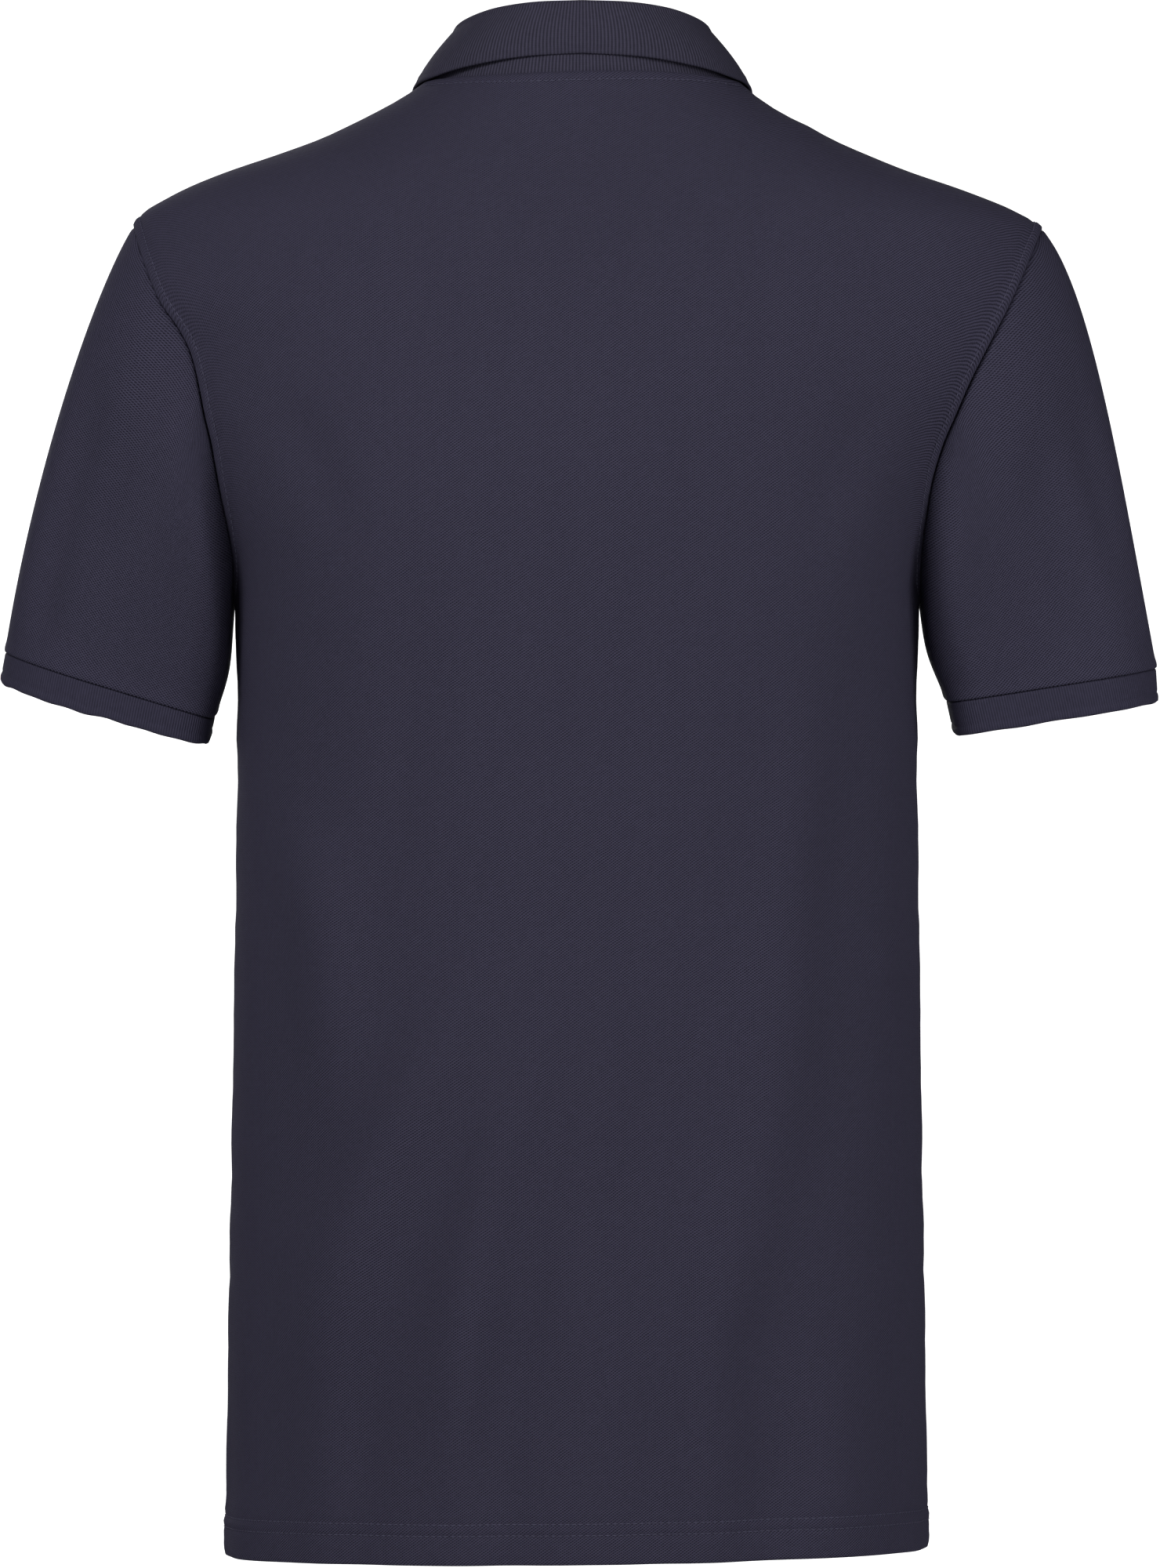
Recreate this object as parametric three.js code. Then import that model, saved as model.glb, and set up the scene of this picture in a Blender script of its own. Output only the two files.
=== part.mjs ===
// A short-sleeved polo shirt in pique cotton, filled out as if it were worn, with nobody in it.
// Millimetres, +Z up. The front faces -Y and the wearer's left is +X. The origin lies midway between
// the two points where the shoulder seams meet the collar, where a wearer's shoulders hold the shirt.
import * as THREE from "three";

// Cloth and seams
const PIQUE = 1.4; // wall of the body and sleeves
const RIB = 1.8; // wall of the rib-knit collar and cuffs
const SEAM_GAP = 0.3; // clearance between two pieces that are sewn together
const CUFF_INSET = 0.2; // how far the cuffs lie inside the sleeves' outer faces

// The shirt hangs a little askew: its neck stands to the right of the body's middle, its hem slopes
// down to the left, and the hem drops at both side seams
const NECK_SWAY = -1.9;
const SWAY_FROM_Z = -80;
const SWAY_FULL_Z = -15;
const HEM_RAISE = 4;
const HEM_SLOPE = 2;
const HEM_SIDE_DROP = 2.6;

// Heights of the body
const HEM_Z = -726;
const UNDERARM_Z = -250;

// Neck opening: where the shoulder seams end, and the seam's lowest point at the front
const NECK_HALF = 77;
const NECK_SIDE_Z = 5;
const NECK_BACK_Z = 8;
const NECK_FRONT_Z = -60;
const NECK_ROUND = 2.3; // how square the front neckline is
const NECK_LEAN = 1.1; // how far the sections draw in for each millimetre above the shoulder seam's end

// Armholes, seen from the side: how far their ovals reach behind and before the shoulder seam
const ARMHOLE_BACK = 66;
const ARMHOLE_FRONT = 60;

// Placket: the slot in the front and the two strips that close it
const SLOT_HALF = 14;
const STRIP_HALF = 15.5;
const STRIP_WALL = 1.5;
const STRIP_BELOW_SLOT = 9;
const STRIP_UNDER_NECK = 0.2; // how far the strips end below the neck seam
const STRIP_ABOVE_FRONT = 0.45; // the top strip's inner face, out from the front panel
const STRIP_BEHIND_FRONT = 0.55; // the under strip's outer face, in from the front panel's wall
const STRIP_ROWS = 12;

// Buttons
const BUTTON_RADIUS = 5.8;
const BUTTON_THICK = 2.4;
const BUTTON_HEIGHTS = [-73, -125, -177];
const BUTTON_HOLE_RADIUS = 0.9;
const BUTTON_HOLE_OUT = 1.7;
const BUTTON_ABOVE_STRIP = 0.4;

// Grid steps of the cloth
const SHOULDER_STEPS = 8; // columns along a shoulder seam
const SHOULDER_SPREAD = 1.5; // above 1, the columns crowd towards the sleeve
const NECK_STEPS = 5; // columns along half the neckline, up to the slot's edge
const SLOT_STEPS = 2; // columns across half the slot
const BODY_ROWS = 10; // rows from the hem to the underarm
const YOKE_ROWS = 16; // rows from the underarm to the shoulder
const SLOT_ROW = 5; // the slot starts this many rows above the underarm
const SLEEVE_ROWS = 9;
const SECTION_STEPS = 240; // steps that measure round a section

// Horizontal sections of the body. back and front are depths at its middle, square is the exponent
// of the oval, half is the half width below the underarm, and shift moves the section to +X.
const SECTIONS = [
  { z: -726, half: 174.9, shift: 1.0, back: 134, front: 135, square: 2.5 },
  { z: -620, half: 173.3, shift: 0.9, back: 134, front: 134, square: 2.5 },
  { z: -520, half: 171.6, shift: 0.8, back: 129, front: 131, square: 2.5 },
  { z: -420, half: 170.2, shift: 0.6, back: 125, front: 130, square: 2.5 },
  { z: -340, half: 169.1, shift: 0.6, back: 127, front: 132, square: 2.55 },
  { z: -290, half: 169.2, shift: 0.7, back: 130, front: 133.5, square: 2.75 },
  { z: -250, half: 170.8, shift: 0.7, back: 132, front: 133, square: 3 },
  { z: -225, half: 173, shift: 0.7, back: 133, front: 131, square: 2.85 },
  { z: -200, half: 176, shift: 0.7, back: 133, front: 127, square: 2.5 },
  { z: -175, half: 176, shift: 0.7, back: 131.6, front: 120.5, square: 2.22 },
  { z: -150, half: 176, shift: 0.7, back: 129, front: 112, square: 2.12 },
  { z: -100, half: 176, shift: 0.7, back: 116, front: 88, square: 2.1 },
  { z: -60, half: 176, shift: 0.7, back: 99, front: 63, square: 2.1 },
  { z: -30, half: 176, shift: 0.7, back: 83, front: 48, square: 2.1 },
  { z: 5, half: 176, shift: 0.7, back: 65, front: 32, square: 2.1 },
  { z: 12, half: 176, shift: 0.7, back: 61, front: 30, square: 2.1 },
];

// The shoulder line from the neck (0) to the sleeve (1): how far out it is at each share of its drop
const SHOULDER_LINE = [
  { drop: 0, left: 0, right: 0 },
  { drop: 0.15, left: 0.122, right: 0.097 },
  { drop: 0.24, left: 0.207, right: 0.169 },
  { drop: 0.3, left: 0.267, right: 0.23 },
  { drop: 0.4, left: 0.374, right: 0.317 },
  { drop: 0.51, left: 0.523, right: 0.438 },
  { drop: 0.62, left: 0.683, right: 0.571 },
  { drop: 0.73, left: 0.817, right: 0.727 },
  { drop: 0.84, left: 0.92, right: 0.866 },
  { drop: 0.89, left: 0.96, right: 0.917 },
  { drop: 0.945, left: 0.986, right: 0.967 },
  { drop: 1, left: 1, right: 1 },
];

// The armhole seam from the underarm (0) to the shoulder (1): how far out it is at each share of its rise
const ARMHOLE_LINE = [
  { rise: 0, left: 0, right: 0 },
  { rise: 0.03, left: -0.015, right: -0.015 },
  { rise: 0.07, left: -0.025, right: -0.02 },
  { rise: 0.12, left: -0.015, right: -0.015 },
  { rise: 0.17, left: 0.015, right: 0 },
  { rise: 0.3, left: 0.11, right: 0.06 },
  { rise: 0.4, left: 0.175, right: 0.15 },
  { rise: 0.48, left: 0.245, right: 0.255 },
  { rise: 0.58, left: 0.32, right: 0.39 },
  { rise: 0.65, left: 0.395, right: 0.5 },
  { rise: 0.71, left: 0.51, right: 0.595 },
  { rise: 0.78, left: 0.69, right: 0.705 },
  { rise: 0.885, left: 0.855, right: 0.85 },
  { rise: 1, left: 1, right: 1 },
];

// How folds die away: over a share of the way from their top to the hem, over a share of their length
// if they end above it, and beside the side seams
const FOLD_GROWS = 0.6;
const FOLD_ENDS = 0.4;
const FOLD_SIDES = 3;

// Soft folds that hang in the body: a trough's place across, its top and bottom, half width and depth
const FOLDS = [
  { face: 1, x: 150, top: -520, bottom: -726, width: 13, depth: 2.2 },
  { face: 1, x: 103, top: -590, bottom: -726, width: 16, depth: 2.6 },
  { face: 1, x: 30, top: -540, bottom: -726, width: 18, depth: 2.8 },
  { face: 1, x: -36, top: -600, bottom: -726, width: 13, depth: 2.0 },
  { face: 1, x: -96, top: -560, bottom: -726, width: 21, depth: 4.6 },
  { face: 1, x: 118, top: -300, bottom: -480, width: 20, depth: 2.2 },
  { face: 1, x: -128, top: -250, bottom: -470, width: 19, depth: 2.4 },
  { face: -1, x: 112, top: -470, bottom: -726, width: 19, depth: 3.6 },
  { face: -1, x: 46, top: -600, bottom: -726, width: 17, depth: 2.6 },
  { face: -1, x: -58, top: -540, bottom: -726, width: 19, depth: 3.2 },
  { face: -1, x: -124, top: -430, bottom: -726, width: 17, depth: 3.0 },
];

// Each side's shoulder tip and its sleeve. The leans say how far from upright the sleeve's outline runs,
// at the tip and at the cuff. The cuff's two rings are given by their middles, half sizes and tilts.
const SIDES = {
  left: {
    sign: 1,
    tipX: 221.6,
    tipZ: -67,
    tipLean: 31,
    innerLean: 20,
    outerLean: 9.2,
    seamRing: { x: 233.1, y: -9, z: -293.1, across: 54.9, deep: 52, tilt: 17.2, lean: 3 },
    edgeRing: { x: 235.6, y: -10, z: -305.4, across: 54.8, deep: 51.5, tilt: 16.2, lean: 5.5 },
  },
  right: {
    sign: -1,
    tipX: 230.6,
    tipZ: -68,
    tipLean: 41,
    innerLean: 22,
    outerLean: 11,
    seamRing: { x: 235.4, y: -9, z: -293.3, across: 53.2, deep: 52, tilt: 9.3, lean: 2.2 },
    edgeRing: { x: 237.8, y: -10, z: -309.4, across: 52, deep: 51.5, tilt: 9.9, lean: 2.6 },
  },
};

// How the sleeve's cloth sets off from the armhole seam, from the underarm (0) to the shoulder (1):
// its direction outwards, away from the body's middle plane, and down, and its handle's share
const SLEEVE_START = [
  { rise: 0, out: 0.03, away: 0, down: 1, handle: 0.55 },
  { rise: 0.2, out: 0.2, away: 0.22, down: 0.95, handle: 0.38 },
  { rise: 0.45, out: 0.4, away: 0.16, down: 0.9, handle: 0.32 },
  { rise: 0.7, out: 0.5, away: -0.05, down: 0.86, handle: 0.28 },
  { rise: 0.9, out: 0.5, away: -0.12, down: 0.86, handle: 0.2 },
  { rise: 1, out: 0.5, away: 0, down: 0.86, handle: 0.17 },
];
const SLEEVE_END_HANDLE = 0.42;

// How far the sleeve's cloth starts off the armhole seam: outwards at the underarm and at the shoulder,
// away from the body's middle plane, and down at the shoulder
const SLEEVE_OFF = { underarm: 0.46, shoulder: 0.47, away: 0.1, down: 0.35 };
const SLEEVE_TIP_FROM = 0.8; // above this rise the sleeve turns to its lean at the shoulder tip

// Troughs down the sleeves: place round the sleeve (0 underarm, 0.5 shoulder by way of the back),
// and top and bottom as shares of its length. They fade in and out, and spare the two seams.
const SLEEVE_FOLD_FADE = 0.25;
const SLEEVE_HEAD_HELD = 0.2;
const SLEEVE_END_HELD = 0.12;
const SLEEVE_FOLDS = [
  { side: "left", around: 0.36, top: 0.3, bottom: 1, width: 0.035, depth: 2.6 },
  { side: "left", around: 0.14, top: 0.0, bottom: 0.8, width: 0.03, depth: 2.0 },
  { side: "left", around: 0.72, top: 0.25, bottom: 1, width: 0.035, depth: 2.4 },
  { side: "right", around: 0.3, top: 0.25, bottom: 1, width: 0.04, depth: 2.2 },
  { side: "right", around: 0.12, top: 0.0, bottom: 0.8, width: 0.03, depth: 2.0 },
  { side: "right", around: 0.68, top: 0.25, bottom: 1, width: 0.035, depth: 2.4 },
];

// Half the collar, from the middle of the back (0) past the shoulder (0.5) to its front end (1):
// its fold line and the edge of its leaf
const COLLAR = [
  { turn: 0, foldX: 0, foldY: 57, foldZ: 40.8, edgeX: 0, edgeY: 71, edgeZ: 14.9 },
  { turn: 0.125, foldX: 23.4, foldY: 53, foldZ: 40.2, edgeX: 32, edgeY: 65.4, edgeZ: 13.4 },
  { turn: 0.25, foldX: 43, foldY: 41, foldZ: 38, edgeX: 58.6, edgeY: 50, edgeZ: 9.6 },
  { turn: 0.375, foldX: 56.2, foldY: 22, foldZ: 34.4, edgeX: 75, edgeY: 27, edgeZ: 5.8 },
  { turn: 0.5, foldX: 61.2, foldY: 0, foldZ: 31.4, edgeX: 82, edgeY: 0, edgeZ: 4 },
  { turn: 0.5625, foldX: 60.8, foldY: -11, foldZ: 27.4, edgeX: 84.4, edgeY: -16.4, edgeZ: 0.4 },
  { turn: 0.625, foldX: 58, foldY: -21, foldZ: 20, edgeX: 84.8, edgeY: -31, edgeZ: -11 },
  { turn: 0.75, foldX: 47, foldY: -37, foldZ: 1, edgeX: 76, edgeY: -50, edgeZ: -38 },
  { turn: 0.875, foldX: 26, foldY: -50, foldZ: -20, edgeX: 64, edgeY: -67, edgeZ: -66 },
  { turn: 1, foldX: 2.4, foldY: -56, foldZ: -36, edgeX: 48, edgeY: -84, edgeZ: -93 },
];
const COLLAR_END_X = 2.2; // the collar's two ends meet this far from the middle
const COLLAR_FOLD_RADIUS = 2.7;
const COLLAR_ABOVE_SEAM = 1.3; // middle of the stand's wall above the neck seam's edge
const COLLAR_BULGE = 1.8; // how far the leaf rounds outwards
const STAND_STEPS = 3;
const FOLD_STEPS = 4;
const LEAF_STEPS = 4;

const MATERIALS = {
  pique: { color: 0x33313f, roughness: 0.9 },
  rib: { color: 0x363442, roughness: 0.85 },
  button: { color: 0x2c2b38, roughness: 0.35 },
};

// Value of a column at a place in a table, through its rows on a smooth curve
function along(table, key, at, column) {
  const last = table.length - 1;
  if (at <= table[0][key]) return table[0][column];
  if (at >= table[last][key]) return table[last][column];
  let i = 0;
  while (table[i + 1][key] < at) i += 1;
  const slope = (j) => {
    const a = table[Math.max(j - 1, 0)];
    const b = table[Math.min(j + 1, last)];
    return (b[column] - a[column]) / (b[key] - a[key]);
  };
  const a = table[i];
  const b = table[i + 1];
  const span = b[key] - a[key];
  const s = (at - a[key]) / span;
  const s2 = s * s;
  const s3 = s2 * s;
  return (
    (2 * s3 - 3 * s2 + 1) * a[column] +
    (s3 - 2 * s2 + s) * span * slope(i) +
    (3 * s2 - 2 * s3) * b[column] +
    (s3 - s2) * span * slope(i + 1)
  );
}

const mix = (a, b, t) => a + (b - a) * t;
const smooth = (t) => {
  const c = Math.min(1, Math.max(0, t));
  return c * c * (3 - 2 * c);
};

// Share of the way up the armhole at a row: even steps round an oval
const riseAt = (v) => (1 - Math.cos(Math.PI * v)) / 2;

function underarmX(side) {
  const row = SECTIONS.find((section) => section.z === UNDERARM_Z);
  return row.half + SIDES[side].sign * row.shift;
}

// The armhole seam at a share of its rise, as distances from the middle plane
function armhole(side, face, rise) {
  const { tipX, tipZ } = SIDES[side];
  const depth = face > 0 ? ARMHOLE_BACK : ARMHOLE_FRONT;
  return {
    x: mix(underarmX(side), tipX, along(ARMHOLE_LINE, "rise", rise, side)),
    y: depth * Math.sqrt(Math.max(0, 1 - (2 * rise - 1) ** 2)),
    z: mix(UNDERARM_Z, tipZ, rise),
  };
}

// Half width of the oval section at a height. Between the underarm and the shoulder the oval runs
// through the armhole seam, and above that it ends on the shoulder line.
function halfWidth(side, face, z) {
  const { sign, tipX, tipZ } = SIDES[side];
  if (z <= UNDERARM_Z) {
    return along(SECTIONS, "z", z, "half") + sign * along(SECTIONS, "z", z, "shift");
  }
  if (z < tipZ) {
    const seam = armhole(side, face, (z - UNDERARM_Z) / (tipZ - UNDERARM_Z));
    const depth = along(SECTIONS, "z", z, face > 0 ? "back" : "front");
    const square = along(SECTIONS, "z", z, "square");
    return seam.x / (1 - (seam.y / depth) ** 2) ** (1 / square);
  }
  const drop = (NECK_SIDE_Z - z) / (NECK_SIDE_Z - tipZ);
  if (drop < 0) return NECK_HALF - (z - NECK_SIDE_Z) * NECK_LEAN;
  return mix(NECK_HALF, tipX, along(SHOULDER_LINE, "drop", drop, side));
}

function foldDepth(face, x, z) {
  let sum = 0;
  for (const fold of FOLDS) {
    if (fold.face !== face) continue;
    const fade = smooth((fold.top - z) / (FOLD_GROWS * (fold.top - HEM_Z)));
    const atHem = fold.bottom === HEM_Z;
    const foot = smooth((z - fold.bottom) / (FOLD_ENDS * (fold.top - fold.bottom)));
    sum += fold.depth * fade * (atHem ? 1 : foot) * Math.exp(-(((x - fold.x) / fold.width) ** 2));
  }
  return sum;
}

// Depth of the cloth from the middle plane, at a place across and a height. sx has a sign, +X left.
function clothY(face, sx, z) {
  const side = sx >= 0 ? "left" : "right";
  const share = Math.min(1, Math.abs(sx) / halfWidth(side, face, z));
  const square = along(SECTIONS, "z", z, "square");
  const depth = along(SECTIONS, "z", z, face > 0 ? "back" : "front");
  const rest = Math.max(0, 1 - share ** square);
  return face * (depth * Math.sqrt(rest) - foldDepth(face, sx, z) * Math.min(1, FOLD_SIDES * rest));
}

// Height of the neck seam at a distance from the middle
function necklineZ(face, x) {
  const share = Math.min(1, Math.abs(x) / NECK_HALF);
  if (face > 0) return NECK_SIDE_Z + (NECK_BACK_Z - NECK_SIDE_Z) * (1 - share ** 2);
  return NECK_SIDE_Z + (NECK_FRONT_Z - NECK_SIDE_Z) * (1 - share ** NECK_ROUND);
}

// Where each of half a panel's columns ends at the top: along the shoulder seam, then along the neckline
function columnTops(side, face) {
  const { tipX, tipZ } = SIDES[side];
  const tops = [];
  for (let k = 0; k < SHOULDER_STEPS; k += 1) {
    const out = 1 - (k / SHOULDER_STEPS) ** SHOULDER_SPREAD;
    const drop = along(SHOULDER_LINE, side, out, "drop");
    tops.push({ x: mix(NECK_HALF, tipX, out), z: mix(NECK_SIDE_Z, tipZ, drop) });
  }
  const last = Math.acos(SLOT_HALF / NECK_HALF);
  for (let k = 0; k <= NECK_STEPS; k += 1) {
    const x = NECK_HALF * Math.cos((last * k) / NECK_STEPS);
    tops.push({ x, z: necklineZ(face, x) });
  }
  for (let k = 1; k <= SLOT_STEPS; k += 1) {
    const x = SLOT_HALF * (1 - k / SLOT_STEPS);
    tops.push({ x, z: necklineZ(face, x) });
  }
  return tops;
}

// Places across half a section, evenly spaced round it from the side seam to the slot's edge
function columnXs(side, face, z) {
  const wide = halfWidth(side, face, z);
  const square = along(SECTIONS, "z", z, "square");
  const depth = along(SECTIONS, "z", z, face > 0 ? "back" : "front");
  const run = [{ x: wide, length: 0 }];
  let before = { x: wide, y: 0 };
  for (let i = 1; i <= SECTION_STEPS; i += 1) {
    const angle = (Math.PI / 2) * (i / SECTION_STEPS);
    const x = wide * Math.cos(angle) ** (2 / square);
    const y = depth * Math.sqrt(Math.max(0, 1 - (x / wide) ** square));
    run.push({ x, length: run[i - 1].length + Math.hypot(x - before.x, y - before.y) });
    before = { x, y };
    if (x <= SLOT_HALF) break;
  }
  const columns = SHOULDER_STEPS + NECK_STEPS;
  const total = run[run.length - 1].length;
  const xs = [];
  for (let k = 0; k < columns; k += 1) {
    const wanted = (total * k) / columns;
    let i = 1;
    while (i < run.length - 1 && run[i].length < wanted) i += 1;
    const t = (wanted - run[i - 1].length) / (run[i].length - run[i - 1].length);
    xs.push(mix(run[i - 1].x, run[i].x, t));
  }
  for (let k = 0; k <= SLOT_STEPS; k += 1) xs.push(SLOT_HALF * (1 - k / SLOT_STEPS));
  return xs;
}

// One row of half a panel, from the side to the middle, at a row number counted from the hem
function halfRow(side, face, row) {
  const { sign } = SIDES[side];
  const points = [];
  if (row <= BODY_ROWS) {
    const z = mix(HEM_Z, UNDERARM_Z, row / BODY_ROWS);
    for (const x of columnXs(side, face, z)) {
      points.push(new THREE.Vector3(sign * x, clothY(face, sign * x, z), z));
    }
    return points;
  }
  const v = (row - BODY_ROWS) / YOKE_ROWS;
  const rise = riseAt(v);
  const seam = armhole(side, face, rise);
  const low = columnXs(side, face, UNDERARM_Z);
  const tops = columnTops(side, face);
  const { tipX } = SIDES[side];
  for (let k = 0; k < tops.length; k += 1) {
    const z = mix(UNDERARM_Z, tops[k].z, rise);
    let x = tops[k].x;
    if (k < SHOULDER_STEPS + NECK_STEPS) {
      const lowShare = (low[k] - SLOT_HALF) / (low[0] - SLOT_HALF);
      const topShare = (tops[k].x - SLOT_HALF) / (tipX - SLOT_HALF);
      x = SLOT_HALF + (seam.x - SLOT_HALF) * mix(lowShare, topShare, smooth(v));
    }
    const onShoulder = v === 1 && k <= SHOULDER_STEPS;
    points.push(new THREE.Vector3(sign * x, onShoulder ? 0 : clothY(face, sign * x, z), z));
  }
  return points;
}

// A panel's rows of points from its left side to its right
function panelGrid(face) {
  const rows = [];
  for (let row = 0; row <= BODY_ROWS + YOKE_ROWS; row += 1) {
    const left = halfRow("left", face, row);
    const right = halfRow("right", face, row).reverse();
    rows.push([...left, ...right.slice(1)]);
  }
  return rows;
}

// Unit normals of a grid of points. flip turns them round.
function gridNormals(grid, closed, flip) {
  const rows = grid.length;
  const columns = grid[0].length;
  return grid.map((line, i) =>
    line.map((_, j) => {
      const below = grid[Math.max(i - 1, 0)][j];
      const above = grid[Math.min(i + 1, rows - 1)][j];
      const before = closed ? line[(j + columns - 1) % columns] : line[Math.max(j - 1, 0)];
      const after = closed ? line[(j + 1) % columns] : line[Math.min(j + 1, columns - 1)];
      const across = after.clone().sub(before);
      const up = above.clone().sub(below);
      return across.cross(up).normalize().multiplyScalar(flip ? -1 : 1);
    }),
  );
}

// Where a point of the straight shirt comes to lie on the shirt as it hangs
function hang(p) {
  const share = p.x / SECTIONS[0].half;
  const low = smooth((UNDERARM_Z - p.z) / (UNDERARM_Z - HEM_Z));
  p.z += low * (HEM_RAISE - HEM_SLOPE * share - HEM_SIDE_DROP * share ** 6);
  p.x += NECK_SWAY * smooth((p.z - SWAY_FROM_Z) / (SWAY_FULL_Z - SWAY_FROM_Z));
  return p;
}

// A closed wall round a grid of points: its faces lie at two distances along the normals, and
// kept(i, j) says which cells have cloth
function wall(grid, normals, outer, inner, { closed = false, kept = () => true } = {}) {
  const rows = grid.length;
  const columns = grid[0].length;
  const positions = [];
  for (const distance of [outer, inner]) {
    for (let i = 0; i < rows; i += 1) {
      for (let j = 0; j < columns; j += 1) {
        const p = hang(grid[i][j].clone().addScaledVector(normals[i][j], distance));
        positions.push(p.x, p.y, p.z);
      }
    }
  }
  const at = (layer, i, j) => layer * rows * columns + i * columns + (j % columns);
  const cells = closed ? columns : columns - 1;
  const has = (i, j) => {
    if (i < 0 || i >= rows - 1) return false;
    if (!closed && (j < 0 || j >= cells)) return false;
    return kept(i, (j + cells) % cells);
  };
  const index = [];
  const quad = (a, b, c, d) => index.push(a, b, c, a, c, d);
  for (let i = 0; i < rows - 1; i += 1) {
    for (let j = 0; j < cells; j += 1) {
      if (!has(i, j)) continue;
      quad(at(0, i, j), at(0, i, j + 1), at(0, i + 1, j + 1), at(0, i + 1, j));
      quad(at(1, i, j), at(1, i + 1, j), at(1, i + 1, j + 1), at(1, i, j + 1));
      if (!has(i - 1, j)) quad(at(1, i, j), at(1, i, j + 1), at(0, i, j + 1), at(0, i, j));
      if (!has(i + 1, j)) {
        quad(at(0, i + 1, j), at(0, i + 1, j + 1), at(1, i + 1, j + 1), at(1, i + 1, j));
      }
      if (!has(i, j - 1)) quad(at(0, i + 1, j), at(1, i + 1, j), at(1, i, j), at(0, i, j));
      if (!has(i, j + 1)) {
        quad(at(0, i, j + 1), at(1, i, j + 1), at(1, i + 1, j + 1), at(0, i + 1, j + 1));
      }
    }
  }
  return closedGeometry(positions, index);
}

// Geometry with only the points that faces use, and its faces pointing out
function closedGeometry(positions, index) {
  const numbers = new Map();
  const used = [];
  const faces = index.map((old) => {
    if (!numbers.has(old)) {
      numbers.set(old, numbers.size);
      used.push(positions[3 * old], positions[3 * old + 1], positions[3 * old + 2]);
    }
    return numbers.get(old);
  });
  const point = (n) => new THREE.Vector3(used[3 * n], used[3 * n + 1], used[3 * n + 2]);
  let volume = 0;
  for (let f = 0; f < faces.length; f += 3) {
    volume += point(faces[f]).dot(point(faces[f + 1]).cross(point(faces[f + 2])));
  }
  if (volume < 0) {
    for (let f = 0; f < faces.length; f += 3) {
      [faces[f + 1], faces[f + 2]] = [faces[f + 2], faces[f + 1]];
    }
  }
  const geometry = new THREE.BufferGeometry();
  geometry.setAttribute("position", new THREE.Float32BufferAttribute(used, 3));
  geometry.setIndex(faces);
  return geometry;
}

const shirt = new THREE.Group();

function addPiece(name, geometry, kind) {
  const material = new THREE.MeshStandardMaterial({ ...MATERIALS[kind], metalness: 0 });
  const mesh = new THREE.Mesh(geometry, material);
  mesh.name = name;
  shirt.add(mesh);
  return mesh;
}

// A panel's normals point away from the body. On the side and shoulder seams they have no part
// along Y, so that the two panels' edges face each other squarely.
function panelNormals(grid, face) {
  const normals = gridNormals(grid, false, face < 0);
  const lastColumn = grid[0].length - 1;
  const square = (n) => n.setY(0).normalize();
  for (let i = 0; i <= BODY_ROWS; i += 1) {
    square(normals[i][0]);
    square(normals[i][lastColumn]);
  }
  const top = grid.length - 1;
  for (let k = 0; k <= SHOULDER_STEPS; k += 1) {
    square(normals[top][k]);
    square(normals[top][lastColumn - k]);
  }
  return normals;
}

function addPanel(name, face) {
  const grid = panelGrid(face);
  const normals = panelNormals(grid, face);
  const slotFrom = SHOULDER_STEPS + NECK_STEPS;
  const slotTo = slotFrom + 2 * SLOT_STEPS;
  const inSlot = (i, j) => face < 0 && i >= BODY_ROWS + SLOT_ROW && j >= slotFrom && j < slotTo;
  const geometry = wall(grid, normals, 0, -PIQUE, { kept: (i, j) => !inSlot(i, j) });
  geometry.translate(0, (face * SEAM_GAP) / 2, 0);
  addPiece(name, geometry, "pique");
}

// A closed ring of points round an arm, starting at its inner side and going round by the back
function armRing(side, ring, count) {
  const { sign } = SIDES[side];
  const tilt = THREE.MathUtils.degToRad(ring.tilt);
  const lean = THREE.MathUtils.degToRad(ring.lean);
  const outwards = new THREE.Vector3(sign * Math.cos(tilt), 0, Math.sin(tilt));
  const backwards = new THREE.Vector3(0, Math.cos(lean), -Math.sin(lean));
  const middle = new THREE.Vector3(sign * ring.x, ring.y, ring.z);
  const points = [];
  for (let j = 0; j < count; j += 1) {
    const angle = (2 * Math.PI * j) / count;
    points.push(
      middle
        .clone()
        .addScaledVector(outwards, -ring.across * Math.cos(angle))
        .addScaledVector(backwards, ring.deep * Math.sin(angle)),
    );
  }
  const up = outwards.clone().cross(backwards).normalize().multiplyScalar(sign);
  return { points, up };
}

// The armhole seam as a closed ring: up by the back, down by the front
function armholeRing(side) {
  const { sign } = SIDES[side];
  const points = [];
  for (let j = 0; j < 2 * YOKE_ROWS; j += 1) {
    const face = j <= YOKE_ROWS ? 1 : -1;
    const rise = riseAt(j <= YOKE_ROWS ? j / YOKE_ROWS : 2 - j / YOKE_ROWS);
    const seam = armhole(side, face, rise);
    points.push({ at: new THREE.Vector3(sign * seam.x, face * seam.y, seam.z), face, rise });
  }
  return points;
}

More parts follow.
